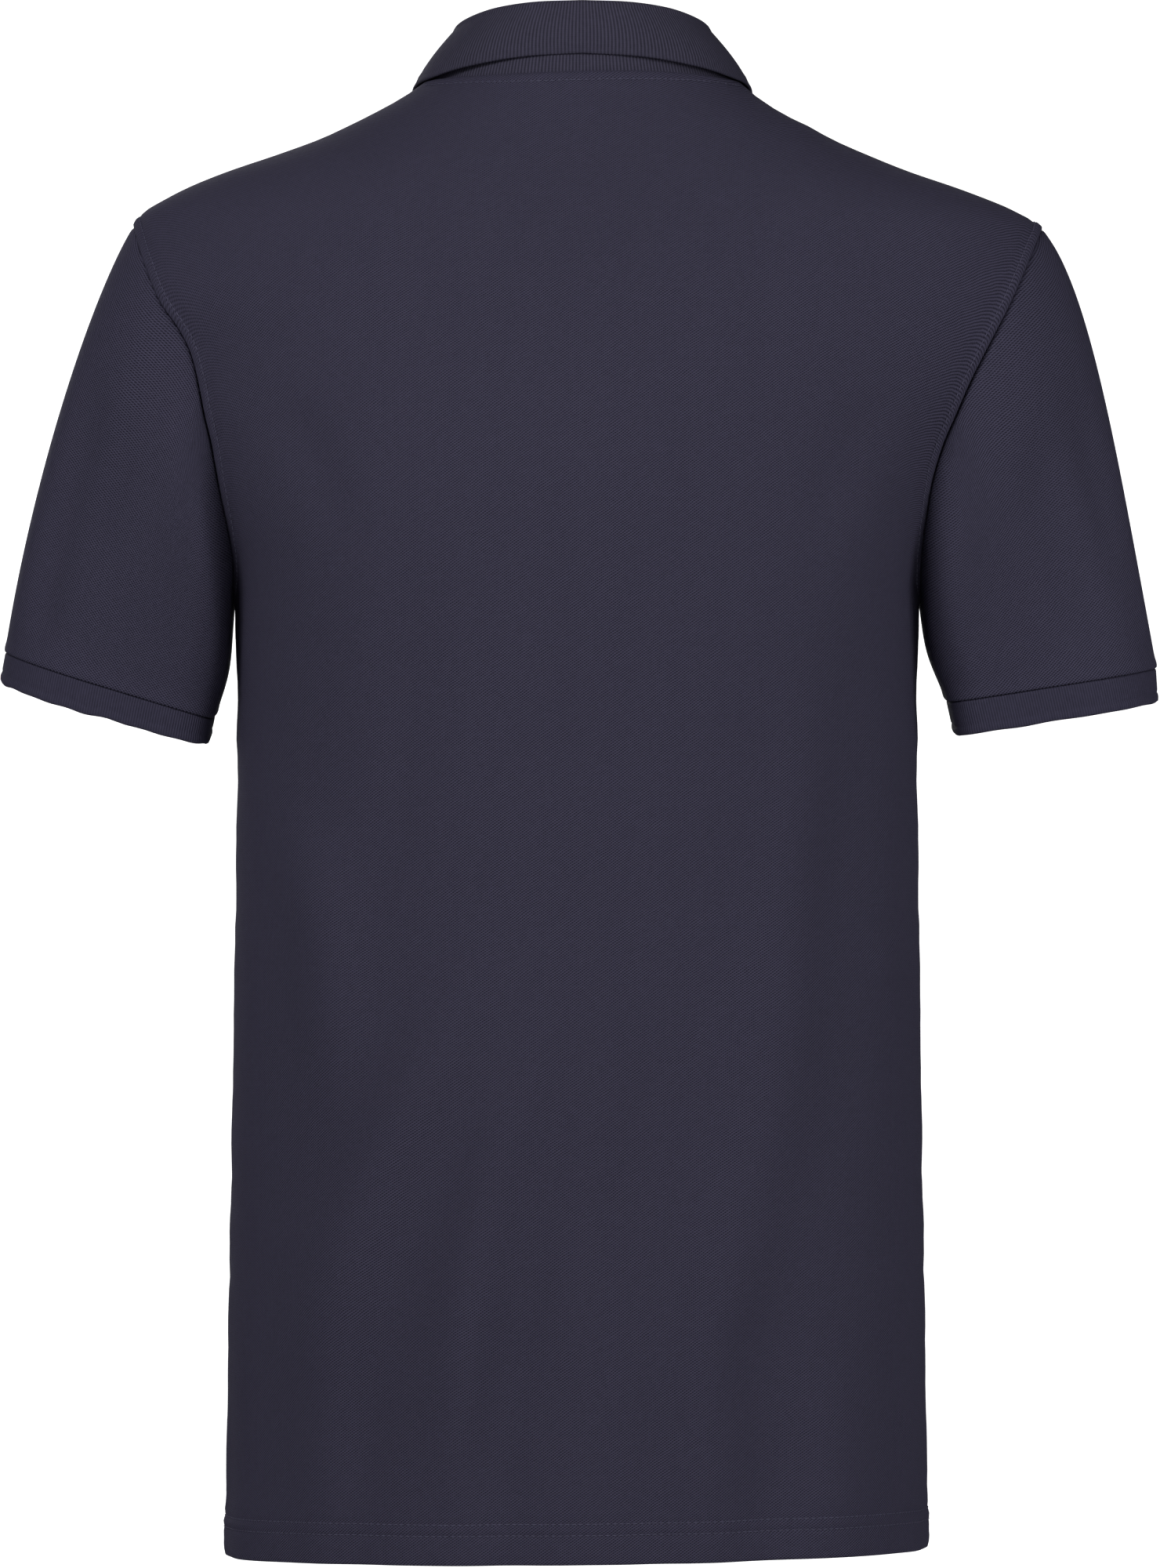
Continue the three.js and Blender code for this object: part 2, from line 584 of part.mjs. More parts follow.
// Rows of points down a sleeve, from the armhole seam to the cuff seam
function sleeveGrid(side) {
  const { sign, tipLean, innerLean, outerLean } = SIDES[side];
  const loop = armholeRing(side);
  const count = loop.length;
  const end = armRing(side, SIDES[side].seamRing, count);
  const tipTurn = Math.tan(THREE.MathUtils.degToRad(tipLean));
  const rows = [];
  for (let i = 0; i <= SLEEVE_ROWS; i += 1) {
    const t = i / SLEEVE_ROWS;
    const line = loop.map(({ at, face, rise }, j) => {
      const start = (column) => along(SLEEVE_START, "rise", rise, column);
      const clear = new THREE.Vector3(
        sign * mix(SLEEVE_OFF.underarm, SLEEVE_OFF.shoulder, smooth(rise)),
        face * SLEEVE_OFF.away * Math.sin(Math.PI * rise),
        -SLEEVE_OFF.down * rise,
      );
      const from = at.clone().add(clear);
      const toTip = smooth((rise - SLEEVE_TIP_FROM) / (1 - SLEEVE_TIP_FROM));
      const out = mix(start("out"), tipTurn * start("down"), toTip);
      const heading = new THREE.Vector3(sign * out, face * start("away"), -start("down")).normalize();
      const reach = from.distanceTo(end.points[j]);
      const first = from.clone().addScaledVector(heading, reach * start("handle"));
      const outside = (1 - Math.cos((2 * Math.PI * j) / count)) / 2;
      const lean = THREE.MathUtils.degToRad(mix(innerLean, outerLean, outside));
      const back = new THREE.Vector3(-sign * Math.sin(lean), end.up.y, Math.cos(lean)).normalize();
      const second = end.points[j].clone().addScaledVector(back, reach * SLEEVE_END_HANDLE);
      return new THREE.CubicBezierCurve3(from, first, second, end.points[j]).getPoint(t);
    });
    rows.push(line);
  }
  return rows;
}

function foldSleeve(side, grid, normals) {
  const last = grid.length - 1;
  grid.forEach((line, i) => {
    line.forEach((p, j) => {
      const t = i / last;
      const around = j / line.length;
      let sum = 0;
      for (const fold of SLEEVE_FOLDS) {
        if (fold.side !== side) continue;
        const grows = smooth((t - fold.top) / SLEEVE_FOLD_FADE);
        const ends = fold.bottom === 1 ? 1 : smooth((fold.bottom - t) / SLEEVE_FOLD_FADE);
        sum += fold.depth * grows * ends * Math.exp(-(((around - fold.around) / fold.width) ** 2));
      }
      const held = smooth(t / SLEEVE_HEAD_HELD) * smooth((1 - t) / SLEEVE_END_HELD);
      p.addScaledVector(normals[i][j], -sum * held);
    });
  });
}

function addSleeve(side) {
  const { sign, seamRing } = SIDES[side];
  const right = side === "right";
  const grid = sleeveGrid(side);
  foldSleeve(side, grid, gridNormals(grid, true, right));
  const normals = gridNormals(grid, true, right);
  for (const n of normals[0]) {
    if (n.x * sign > 0) n.setX(0).normalize();
  }
  const { up } = armRing(side, seamRing, 1);
  for (const n of normals[SLEEVE_ROWS]) n.projectOnPlane(up).normalize();
  addPiece(`sleeve_${side}`, wall(grid, normals, 0, -PIQUE, { closed: true }), "pique");
}

function addCuff(side) {
  const { seamRing, edgeRing } = SIDES[side];
  const count = 2 * YOKE_ROWS;
  const top = armRing(side, seamRing, count);
  const bottom = armRing(side, edgeRing, count);
  const grid = [0, 0.5, 1].map((t) =>
    top.points.map((p, j) => {
      const below = -SEAM_GAP * (1 - t);
      return p.clone().lerp(bottom.points[j], t).addScaledVector(top.up, below);
    }),
  );
  const normals = gridNormals(grid, true, side === "right");
  for (const n of normals[0]) n.projectOnPlane(top.up).normalize();
  const geometry = wall(grid, normals, -CUFF_INSET, -CUFF_INSET - RIB, { closed: true });
  addPiece(`cuff_${side}`, geometry, "rib");
}

// Points of the neck seam at the collar's columns, from its left end round the back to its right end
function neckSeam() {
  const half = (side) => {
    const { sign } = SIDES[side];
    const points = [];
    const frontXs = columnTops(side, -1).slice(SHOULDER_STEPS, -SLOT_STEPS).map((top) => top.x);
    const backXs = columnTops(side, 1).slice(SHOULDER_STEPS).map((top) => top.x);
    const front = [COLLAR_END_X, ...frontXs.reverse()];
    front.forEach((x, k) => {
      const z = necklineZ(-1, x);
      const y = x === NECK_HALF ? 0 : clothY(-1, sign * x, z);
      const turn = 1 - (0.5 * k) / (front.length - 1);
      points.push({ turn, sign, at: new THREE.Vector3(sign * x, y, z) });
    });
    backXs.slice(1).forEach((x, k) => {
      const z = necklineZ(1, x);
      const turn = 0.5 - (0.5 * (k + 1)) / (backXs.length - 1);
      points.push({ turn, sign, at: new THREE.Vector3(sign * x, clothY(1, sign * x, z), z) });
    });
    return points;
  };
  return [...half("left"), ...half("right").reverse().slice(1)];
}

// The middle of the collar's wall across one column: up the stand, over the fold and down the leaf
function collarProfile({ turn, sign, at }) {
  const read = (column) => along(COLLAR, "turn", turn, column);
  const up = new THREE.Vector3(0, 0, 1);
  const base = at.clone().addScaledVector(up, COLLAR_ABOVE_SEAM);
  const fold = new THREE.Vector3(sign * read("foldX"), read("foldY"), read("foldZ"));
  const edge = new THREE.Vector3(sign * read("edgeX"), read("edgeY"), read("edgeZ"));
  const out = edge.clone().sub(fold).setZ(0).normalize();
  const centre = fold.clone().addScaledVector(up, -COLLAR_FOLD_RADIUS);
  const onFold = (angle) =>
    centre
      .clone()
      .addScaledVector(out, -COLLAR_FOLD_RADIUS * Math.cos(angle))
      .addScaledVector(up, COLLAR_FOLD_RADIUS * Math.sin(angle));
  const points = [];
  for (let i = 0; i < STAND_STEPS; i += 1) {
    points.push(base.clone().lerp(onFold(0), i / STAND_STEPS));
  }
  for (let i = 0; i < FOLD_STEPS; i += 1) points.push(onFold((Math.PI * i) / FOLD_STEPS));
  for (let i = 0; i <= LEAF_STEPS; i += 1) {
    const t = i / LEAF_STEPS;
    const bulge = COLLAR_BULGE * Math.sin(Math.PI * t);
    points.push(onFold(Math.PI).lerp(edge, t).addScaledVector(out, bulge));
  }
  return points;
}

function addCollar() {
  const columns = neckSeam().map(collarProfile);
  const grid = columns[0].map((_, i) => columns.map((column) => column[i]));
  const normals = gridNormals(grid, false, false);
  addPiece("collar", wall(grid, normals, RIB / 2, -RIB / 2), "rib");
}

// Rows of points up the placket, on the front panel's outer face
function stripGrid() {
  const slotFootZ = mix(UNDERARM_Z, NECK_FRONT_Z, riseAt(SLOT_ROW / YOKE_ROWS));
  const rows = [];
  for (let i = 0; i <= STRIP_ROWS; i += 1) {
    const line = [];
    for (let j = -2; j <= 2; j += 1) {
      const x = (-STRIP_HALF * j) / 2;
      const topZ = necklineZ(-1, x) - STRIP_UNDER_NECK;
      const z = mix(slotFootZ - STRIP_BELOW_SLOT, topZ, i / STRIP_ROWS);
      line.push(new THREE.Vector3(x, clothY(-1, x, z) - SEAM_GAP / 2, z));
    }
    rows.push(line);
  }
  return rows;
}

function addPlacket() {
  const grid = stripGrid();
  const normals = gridNormals(grid, false, true);
  const over = STRIP_ABOVE_FRONT;
  const under = -(PIQUE + STRIP_BEHIND_FRONT);
  addPiece("placket_top", wall(grid, normals, over + STRIP_WALL, over), "pique");
  addPiece("placket_under", wall(grid, normals, under, under - STRIP_WALL), "pique");
}

function addButtons() {
  const outline = new THREE.Shape().absarc(0, 0, BUTTON_RADIUS, 0, 2 * Math.PI);
  for (let k = 0; k < 4; k += 1) {
    const angle = Math.PI / 4 + (Math.PI / 2) * k;
    const hole = new THREE.Path();
    const x = BUTTON_HOLE_OUT * Math.cos(angle);
    const y = BUTTON_HOLE_OUT * Math.sin(angle);
    hole.absarc(x, y, BUTTON_HOLE_RADIUS, 0, 2 * Math.PI, true);
    outline.holes.push(hole);
  }
  const options = { depth: BUTTON_THICK, bevelEnabled: false, curveSegments: 10 };
  BUTTON_HEIGHTS.forEach((z, k) => {
    const button = new THREE.ExtrudeGeometry(outline, options);
    const rise = 5;
    const slope = clothY(-1, 0, z + rise) - clothY(-1, 0, z - rise);
    const normal = new THREE.Vector3(0, -2 * rise, slope).normalize();
    const face = new THREE.Vector3(0, clothY(-1, 0, z) - SEAM_GAP / 2, z);
    const over = STRIP_ABOVE_FRONT + STRIP_WALL + BUTTON_ABOVE_STRIP;
    const piece = addPiece(`button_${k + 1}`, button, "button");
    piece.quaternion.setFromUnitVectors(new THREE.Vector3(0, 0, 1), normal);
    piece.position.copy(hang(face.addScaledVector(normal, over)));
  });
}

addPanel("back", 1);
addPanel("front", -1);
addSleeve("left");
addSleeve("right");
addCuff("left");
addCuff("right");
addCollar();
addPlacket();
addButtons();

export default shirt;
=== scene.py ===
# %% [markdown]
# # A polo shirt, dressed round its solid frame
# This script makes the cloth of a short-sleeved polo shirt: thin knitted panels, a rib collar, rib
# bands, a placket, buttons and every stitch that shows. Each piece of cloth is worked out in
# millimetres with the same rules as those solids, on a finer grid.

# %% Start with the frame
import math

import bpy
import numpy as np
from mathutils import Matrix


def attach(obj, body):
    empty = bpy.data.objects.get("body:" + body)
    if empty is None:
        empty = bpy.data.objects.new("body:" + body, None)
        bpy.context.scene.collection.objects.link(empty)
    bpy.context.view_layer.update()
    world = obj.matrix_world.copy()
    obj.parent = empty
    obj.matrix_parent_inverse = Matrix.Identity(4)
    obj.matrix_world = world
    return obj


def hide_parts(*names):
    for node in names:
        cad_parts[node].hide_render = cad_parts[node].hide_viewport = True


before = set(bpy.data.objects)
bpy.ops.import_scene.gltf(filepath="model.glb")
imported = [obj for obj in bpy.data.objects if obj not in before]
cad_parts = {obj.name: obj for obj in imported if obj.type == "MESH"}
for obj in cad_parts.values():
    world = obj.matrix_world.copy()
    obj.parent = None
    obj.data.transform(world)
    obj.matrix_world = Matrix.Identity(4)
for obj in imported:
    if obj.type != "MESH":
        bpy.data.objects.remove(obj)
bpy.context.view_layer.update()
MM = 0.001

# %% [markdown]
# ## The camera
# The photograph looks straight at the shirt's back. Its picture is 1480 by 2000 pixels, and one pixel
# is 0.39 mm at the side seams. A camera without perspective would draw the hem and the collar straight.
# This one stands five metres away, and that distance gives them the photograph's slight curve.

# %% Camera
PIXEL_MM = 0.39
PICTURE_WIDE = 1480
DISTANCE_MM = 5000
AXIS_X = -0.78
AXIS_Z = -344

camera_data = bpy.data.cameras.new("camera")
camera_data.sensor_fit = "HORIZONTAL"
camera_data.sensor_width = 36
camera_data.lens = camera_data.sensor_width * DISTANCE_MM / (PICTURE_WIDE * PIXEL_MM)
camera_data.clip_end = 50
camera = bpy.data.objects.new("camera", camera_data)
camera.location = (AXIS_X * MM, DISTANCE_MM * MM, AXIS_Z * MM)
camera.rotation_euler = (math.radians(90), 0, math.radians(180))
bpy.context.scene.collection.objects.link(camera)
bpy.context.scene.camera = camera
print("lens in mm:", round(camera_data.lens, 1))

# %% [markdown]
# ## Sizes of the body
# A shirt is cut from flat pieces, but worn it is a set of rounded sections. They could be modelled by
# hand, but then the cloth would drift from the solids. So both use these tables, with one row for each
# place that was measured. The two sides differ, because the shirt hangs a little askew.

# %% Sizes of the body
PIQUE = 1.3
RIB = 1.7
HEM_Z = -726
UNDERARM_Z = -250
NECK_HALF = 77
NECK_SIDE_Z = 5
NECK_BACK_Z = 6.6
NECK_TILT = 1.9
NECK_FRONT_Z = -60
NECK_ROUND = 2.3
ARMHOLE_BACK = 66
ARMHOLE_FRONT = 60
SLOT_HALF = 14
NECK_SWAY = -1.9
SWAY_FROM_Z = -80
SWAY_FULL_Z = -15
HEM_RAISE = 4
HEM_SLOPE = 2
HEM_SIDE_DROP = 2.6


def rows(names, *lines):
    """A short table: its column names, then one line of numbers for each row."""
    names = names.split()
    return {name: np.array([line[i] for line in lines], float) for i, name in enumerate(names)}


SECTIONS = rows(
    "z half shift back front square",
    (-726, 174.9, 1.0, 134, 135, 2.5),
    (-620, 173.3, 0.9, 134, 134, 2.5),
    (-520, 171.6, 0.8, 129, 131, 2.5),
    (-420, 170.2, 0.6, 125, 130, 2.5),
    (-340, 169.1, 0.6, 127, 132, 2.55),
    (-290, 169.2, 0.7, 130, 133.5, 2.75),
    (-250, 170.8, 0.7, 132, 133, 3),
    (-225, 173, 0.7, 133, 131, 2.85),
    (-200, 176, 0.7, 133, 127, 2.5),
    (-175, 176, 0.7, 131.6, 120.5, 2.22),
    (-150, 176, 0.7, 129, 112, 2.12),
    (-100, 176, 0.7, 116, 88, 2.1),
    (-60, 176, 0.7, 99, 63, 2.1),
    (-30, 176, 0.7, 83, 48, 2.1),
    (5, 176, 0.7, 65, 32, 2.1),
    (12, 176, 0.7, 61, 30, 2.1),
)
SHOULDER_LINE = rows(
    "drop left right",
    (0, 0, 0),
    (0.15, 0.122, 0.097),
    (0.24, 0.207, 0.169),
    (0.3, 0.267, 0.23),
    (0.4, 0.374, 0.317),
    (0.51, 0.523, 0.438),
    (0.62, 0.683, 0.571),
    (0.73, 0.817, 0.727),
    (0.84, 0.92, 0.866),
    (0.89, 0.96, 0.917),
    (0.945, 0.986, 0.967),
    (1, 1, 1),
)
ARMHOLE_LINE = rows(
    "rise left right",
    (0, 0, 0),
    (0.03, -0.015, -0.015),
    (0.07, -0.025, -0.02),
    (0.12, -0.015, -0.015),
    (0.17, 0.015, 0),
    (0.3, 0.11, 0.06),
    (0.4, 0.175, 0.15),
    (0.48, 0.245, 0.255),
    (0.58, 0.32, 0.39),
    (0.65, 0.395, 0.5),
    (0.71, 0.51, 0.595),
    (0.78, 0.69, 0.705),
    (0.885, 0.855, 0.85),
    (1, 1, 1),
)
SIDES = {
    "left": dict(
        sign=1, tip_x=221.6, tip_z=-67, tip_lean=31, inner_lean=20, outer_lean=9.2,
        seam_ring=dict(x=233.1, y=-9, z=-293.1, across=54.9, deep=52, tilt=17.2, lean=3),
        edge_ring=dict(x=235.6, y=-10, z=-305.4, across=54.8, deep=51.5, tilt=16.2, lean=5.5),
    ),
    "right": dict(
        sign=-1, tip_x=230.6, tip_z=-68, tip_lean=41, inner_lean=22, outer_lean=11,
        seam_ring=dict(x=235.4, y=-9, z=-293.3, across=53.2, deep=52, tilt=9.3, lean=2.2),
        edge_ring=dict(x=237.8, y=-10, z=-309.4, across=52, deep=51.5, tilt=9.9, lean=2.6),
    ),
}
print("height from hem to neck in mm:", NECK_SIDE_Z - HEM_Z)

# %% [markdown]
# ## Curves and seams
# A section of the body is a rounded oval. Between the underarm and the shoulder it runs through the
# armhole seam, and above that it ends on the shoulder line. A formula for each keeps the seams shared:
# two pieces that meet ask the same function where their edge is. `along` draws a smooth curve through a
# table's rows, so that a few rows are enough.


# %% Curves and sections
def along(table, key, at, column):
    """Value of a column at a place in a table, on a smooth curve through its rows."""
    xs = table[key]
    ys = table[column]
    at = np.clip(np.asarray(at, float), xs[0], xs[-1])
    slopes = np.empty_like(ys)
    slopes[1:-1] = (ys[2:] - ys[:-2]) / (xs[2:] - xs[:-2])
    slopes[0] = (ys[1] - ys[0]) / (xs[1] - xs[0])
    slopes[-1] = (ys[-1] - ys[-2]) / (xs[-1] - xs[-2])
    i = np.clip(np.searchsorted(xs, at, side="right") - 1, 0, len(xs) - 2)
    span = xs[i + 1] - xs[i]
    s = (at - xs[i]) / span
    s2 = s * s
    s3 = s2 * s
    first = (2 * s3 - 3 * s2 + 1) * ys[i] + (s3 - 2 * s2 + s) * span * slopes[i]
    second = (3 * s2 - 2 * s3) * ys[i + 1] + (s3 - s2) * span * slopes[i + 1]
    return first + second


def mix(a, b, t):
    return a + (b - a) * t


def smooth(t):
    t = np.clip(t, 0, 1)
    return t * t * (3 - 2 * t)


def rise_at(v):
    """Share of the armhole's rise, in steps that are short at both of its ends."""
    return (1 - np.cos(np.pi * v)) / 2


def underarm_x(side):
    half = along(SECTIONS, "z", UNDERARM_Z, "half")
    return half + SIDES[side]["sign"] * along(SECTIONS, "z", UNDERARM_Z, "shift")


def armhole(side, face, rise):
    """The armhole seam at a share of its rise, as distances from the middle plane."""
    part = SIDES[side]
    depth = ARMHOLE_BACK if face > 0 else ARMHOLE_FRONT
    x = mix(underarm_x(side), part["tip_x"], along(ARMHOLE_LINE, "rise", rise, side))
    y = depth * np.sqrt(np.maximum(0, 1 - (2 * np.asarray(rise, float) - 1) ** 2))
    z = mix(UNDERARM_Z, part["tip_z"], rise)
    return x, y, z


def half_width(side, face, z):
    """How far the body reaches to one side at a height, as if it had no armhole."""
    part = SIDES[side]
    z = np.asarray(z, float)
    low = along(SECTIONS, "z", z, "half") + part["sign"] * along(SECTIONS, "z", z, "shift")
    rise = np.clip((z - UNDERARM_Z) / (part["tip_z"] - UNDERARM_Z), 0, 1)
    x, y, _ = armhole(side, face, rise)
    depth = along(SECTIONS, "z", z, "back" if face > 0 else "front")
    square = along(SECTIONS, "z", z, "square")
    middle = x / np.maximum(1e-6, 1 - (y / depth) ** 2) ** (1 / square)
    drop = (NECK_SIDE_Z - z) / (NECK_SIDE_Z - part["tip_z"])
    line = mix(NECK_HALF, part["tip_x"], along(SHOULDER_LINE, "drop", drop, side))
    high = np.where(drop < 0, NECK_HALF + (NECK_SIDE_Z - z) * 1.1, line)
    return np.where(z <= UNDERARM_Z, low, np.where(z < part["tip_z"], middle, high))


print("half width at the chest in mm:", round(float(half_width("left", 1, -300)), 1))

# %% [markdown]
# ## Deep folds
# Nobody wears the shirt, so its folds are few and soft. A cloth simulation would make folds of its own,
# in other places than the photograph's. So each deep fold is one row: its place across, where it starts
# and ends, and how wide and deep it is. `face` is 1 for the back and -1 for the front.

# %% Deep folds and where the cloth is
DEEP_FOLDS = rows(
    "face x top bottom width depth",
    (1, 150, -520, -726, 15, 1.5),
    (1, 103, -590, -726, 16, 2.6),
    (1, 30, -540, -726, 18, 2.8),
    (1, -36, -600, -726, 13, 2.0),
    (1, -96, -560, -726, 21, 4.6),
    (1, 118, -300, -480, 20, 2.2),
    (1, -128, -250, -470, 19, 2.4),
    (-1, 112, -470, -726, 19, 3.6),
    (-1, 46, -600, -726, 17, 2.6),
    (-1, -58, -540, -726, 19, 3.2),
    (-1, -124, -430, -726, 17, 3.0),
)


def fold_depth(face, x, z):
    """How far the deep folds sink the cloth. Each one fades in downwards from its top."""
    total = np.zeros(np.broadcast(x, z).shape)
    for i in np.flatnonzero(DEEP_FOLDS["face"] == face):
        fold_x, top, bottom, width, depth = (
            DEEP_FOLDS[name][i] for name in ("x", "top", "bottom", "width", "depth")
        )
        fade = smooth((top - z) / (0.6 * (top - HEM_Z)))
        foot = 1 if bottom == HEM_Z else smooth((z - bottom) / (0.4 * (top - bottom)))
        total = total + depth * fade * foot * np.exp(-(((x - fold_x) / width) ** 2))
    return total


def cloth_y(face, x, z):
    """Depth of the cloth from the middle plane, at a place across (+X is left) and a height."""
    x, z = np.broadcast_arrays(np.asarray(x, float), np.asarray(z, float))
    wide = np.where(x >= 0, half_width("left", face, z), half_width("right", face, z))
    share = np.minimum(1, np.abs(x) / wide)
    square = along(SECTIONS, "z", z, "square")
    depth = along(SECTIONS, "z", z, "back" if face > 0 else "front")
    rest = np.maximum(0, 1 - share**square)
    return face * (depth * np.sqrt(rest) - fold_depth(face, x, z) * np.minimum(1, 3 * rest))


def neckline_z(face, x):
    """Height of the neck seam at a place across."""
    signed = np.clip(x / NECK_HALF, -1, 1)
    share = np.abs(signed)
    if face > 0:
        return NECK_SIDE_Z + (NECK_BACK_Z - NECK_SIDE_Z - NECK_TILT * signed) * (1 - share**2)
    return NECK_SIDE_Z + (NECK_FRONT_Z - NECK_SIDE_Z) * (1 - share**NECK_ROUND)


def hang(points):
    """Where points of the straight shirt lie on the shirt as it hangs, a little askew."""
    p = np.array(points, float)
    share = p[..., 0] / SECTIONS["half"][0]
    low = smooth((UNDERARM_Z - p[..., 2]) / (UNDERARM_Z - HEM_Z))
    p[..., 2] += low * (HEM_RAISE - HEM_SLOPE * share - HEM_SIDE_DROP * share**6)
    p[..., 0] += NECK_SWAY * smooth((p[..., 2] - SWAY_FROM_Z) / (SWAY_FULL_Z - SWAY_FROM_Z))
    return p


print("deepest fold in mm:", DEEP_FOLDS["depth"].max())

# %% [markdown]
# ## Sheets of points
# Cloth has two faces and a cut edge. A plane with a Solidify modifier gives that too, but not a face
# that is moved out alone where a seam lies under it. So each piece starts as a grid of points, and
# `cloth_mesh` gives it a thickness, a rounded edge, and a UV map in metres of cloth, so that a knit keeps
# its true size however the cloth lies.

# %% Grid tools
RIM_ROUND = 0.35


def unit_normals(grid, closed=False, flip=False):
    """The direction that each point of a grid faces."""
    if closed:
        across = np.roll(grid, -1, 1) - np.roll(grid, 1, 1)
    else:
        across = np.gradient(grid, axis=1)
    up = np.gradient(grid, axis=0)
    normals = np.cross(across, up)
    normals /= np.maximum(np.linalg.norm(normals, axis=-1, keepdims=True), 1e-9)
    return -normals if flip else normals


def arc(grid, axis):
    """Length along the grid from its first row (axis 0) or first column (axis 1)."""
    steps = np.linalg.norm(np.diff(grid, axis=axis), axis=-1)
    pad = [(0, 0), (0, 0)]
    pad[axis] = (1, 0)
    return np.cumsum(np.pad(steps, pad), axis=axis)


def distance_to(points, line):
    """Shortest distance from each point to a line of points."""
    best = np.full(points.shape[:-1], 1e9)
    for a, b in zip(line[:-1], line[1:]):
        way = b - a
        t = np.clip(((points - a) @ way) / max(way @ way, 1e-9), 0, 1)
        best = np.minimum(best, np.linalg.norm(points - a - t[..., None] * way, axis=-1))
    return best


print("metres in a unit of the tables:", MM)


# %% Meshes of cloth
def smooth_mesh(name, vertices, faces, uvs=None):
    mesh = bpy.data.meshes.new(name)
    mesh.from_pydata((np.asarray(vertices) * MM).tolist(), [], faces)
    mesh.polygons.foreach_set("use_smooth", [True] * len(mesh.polygons))
    if uvs is not None:
        layer = mesh.uv_layers.new(name="cloth")
        corner = np.empty(len(mesh.loops), int)
        mesh.loops.foreach_get("vertex_index", corner)
        layer.data.foreach_set("uv", (np.asarray(uvs)[corner] * MM).ravel())
    mesh.update()
    piece = bpy.data.objects.new(name, mesh)
    bpy.context.scene.collection.objects.link(piece)
    return piece


def cloth_mesh(name, grid, normals, uv, wall, closed=False, kept=None, bump=0.0):
    """A closed wall of cloth. Its outer face is the grid moved out by bump, its inner one follows."""
    count_rows, count_columns = grid.shape[:2]
    size = count_rows * count_columns
    outer = grid + normals * np.asarray(bump)[..., None]
    inner = outer - normals * wall
    middle = (outer + inner) / 2
    cells = count_columns if closed else count_columns - 1
    if kept is None:
        kept = np.ones((count_rows - 1, cells), bool)
    vertices = [*hang(outer).reshape(-1, 3), *hang(inner).reshape(-1, 3)]
    uvs = [*uv.reshape(-1, 2), *uv.reshape(-1, 2)]
    rims = {}

    def rim(i, j, outwards):
        key = (i, j % count_columns)
        if key not in rims:
            rims[key] = len(vertices)
            point = middle[i, key[1]] + outwards * wall * RIM_ROUND
            vertices.append(hang(point))
            uvs.append(uv[i, key[1]])
        return rims[key]

    def unit(v):
        return v / max(np.linalg.norm(v), 1e-9)

    def at(layer, i, j):
        return layer * size + i * count_columns + j % count_columns

    faces = []

    def edge(first, second, outwards):
        (i, j), (k, l) = first, second
        a, b = rim(i, j, outwards), rim(k, l, outwards)
        faces.append((at(0, k, l), at(0, i, j), a, b))
        faces.append((b, a, at(1, i, j), at(1, k, l)))

    for i in range(count_rows - 1):
        for j in range(cells):
            if not kept[i, j]:
                continue
            k = j + 1
            faces.append((at(0, i, j), at(0, i, k), at(0, i + 1, k), at(0, i + 1, j)))
            faces.append((at(1, i, j), at(1, i + 1, j), at(1, i + 1, k), at(1, i, k)))
            wrap = k % count_columns
            up = unit(middle[i + 1, j] - middle[i, j])
            over = unit(middle[i, wrap] - middle[i, j])
            if i == 0 or not kept[i - 1, j]:
                edge((i, j), (i, k), -up)
            if i == count_rows - 2 or not kept[i + 1, j]:
                edge((i + 1, k), (i + 1, j), up)
            if not closed and (j == 0 or not kept[i, j - 1]):
                edge((i + 1, j), (i, j), -over)
            if not closed and (j == cells - 1 or not kept[i, j + 1]):
                edge((i, k), (i + 1, k), over)
    piece = smooth_mesh(name, vertices, faces, uvs)
    piece.data.validate()
    return piece


print("a cut edge bulges by", round(RIM_ROUND * PIQUE, 2), "mm")

# %% [markdown]
# ## Seams and hems
# Beside a seam the turned edges lie inside and lift the cloth, up to the row of stitches that holds them
# down. A bump map could draw that, but it would vanish at the outline. So the points are moved: `welt` is
# the profile, by distance from the seam, and `wander` makes the uneven pull of a sewn row.

# %% Relief profiles
SEAM_TO_STITCH = 5.6
HEM_STITCHES = (14, 19.5)


def bell(d, centre, width):
    return np.exp(-(((d - centre) / width) ** 2))


def welt(d, height=0.8):
    plateau = smooth(d / 1.4) * (1 - smooth((d - SEAM_TO_STITCH + 1.0) / 1.8))
    return height * plateau - 0.35 * bell(d, SEAM_TO_STITCH, 0.9) - 0.5 * bell(d, 0, 0.9)


def wander(seed, s, pitch):
    """A smooth uneven wave along s, about one crest in each pitch."""
    rng = np.random.default_rng(seed)
    total = np.zeros_like(np.asarray(s, float))
    for _ in range(6):
        length = pitch * rng.uniform(0.6, 1.8)
        total += rng.uniform(0.4, 1) * np.sin(2 * np.pi * (s / length + rng.uniform()))
    return total / 3


print("height of a welt 2 mm from its seam:", round(float(welt(2.0)), 2), "mm")

# %% [markdown]
# ## Creases
# The finer creases fan up from the hem and hang from the underarms. Each row is one soft trough (a
# positive depth) or ridge (a negative depth) that runs from one place to another, in the photograph's
# places on the back and in like ones on the front.

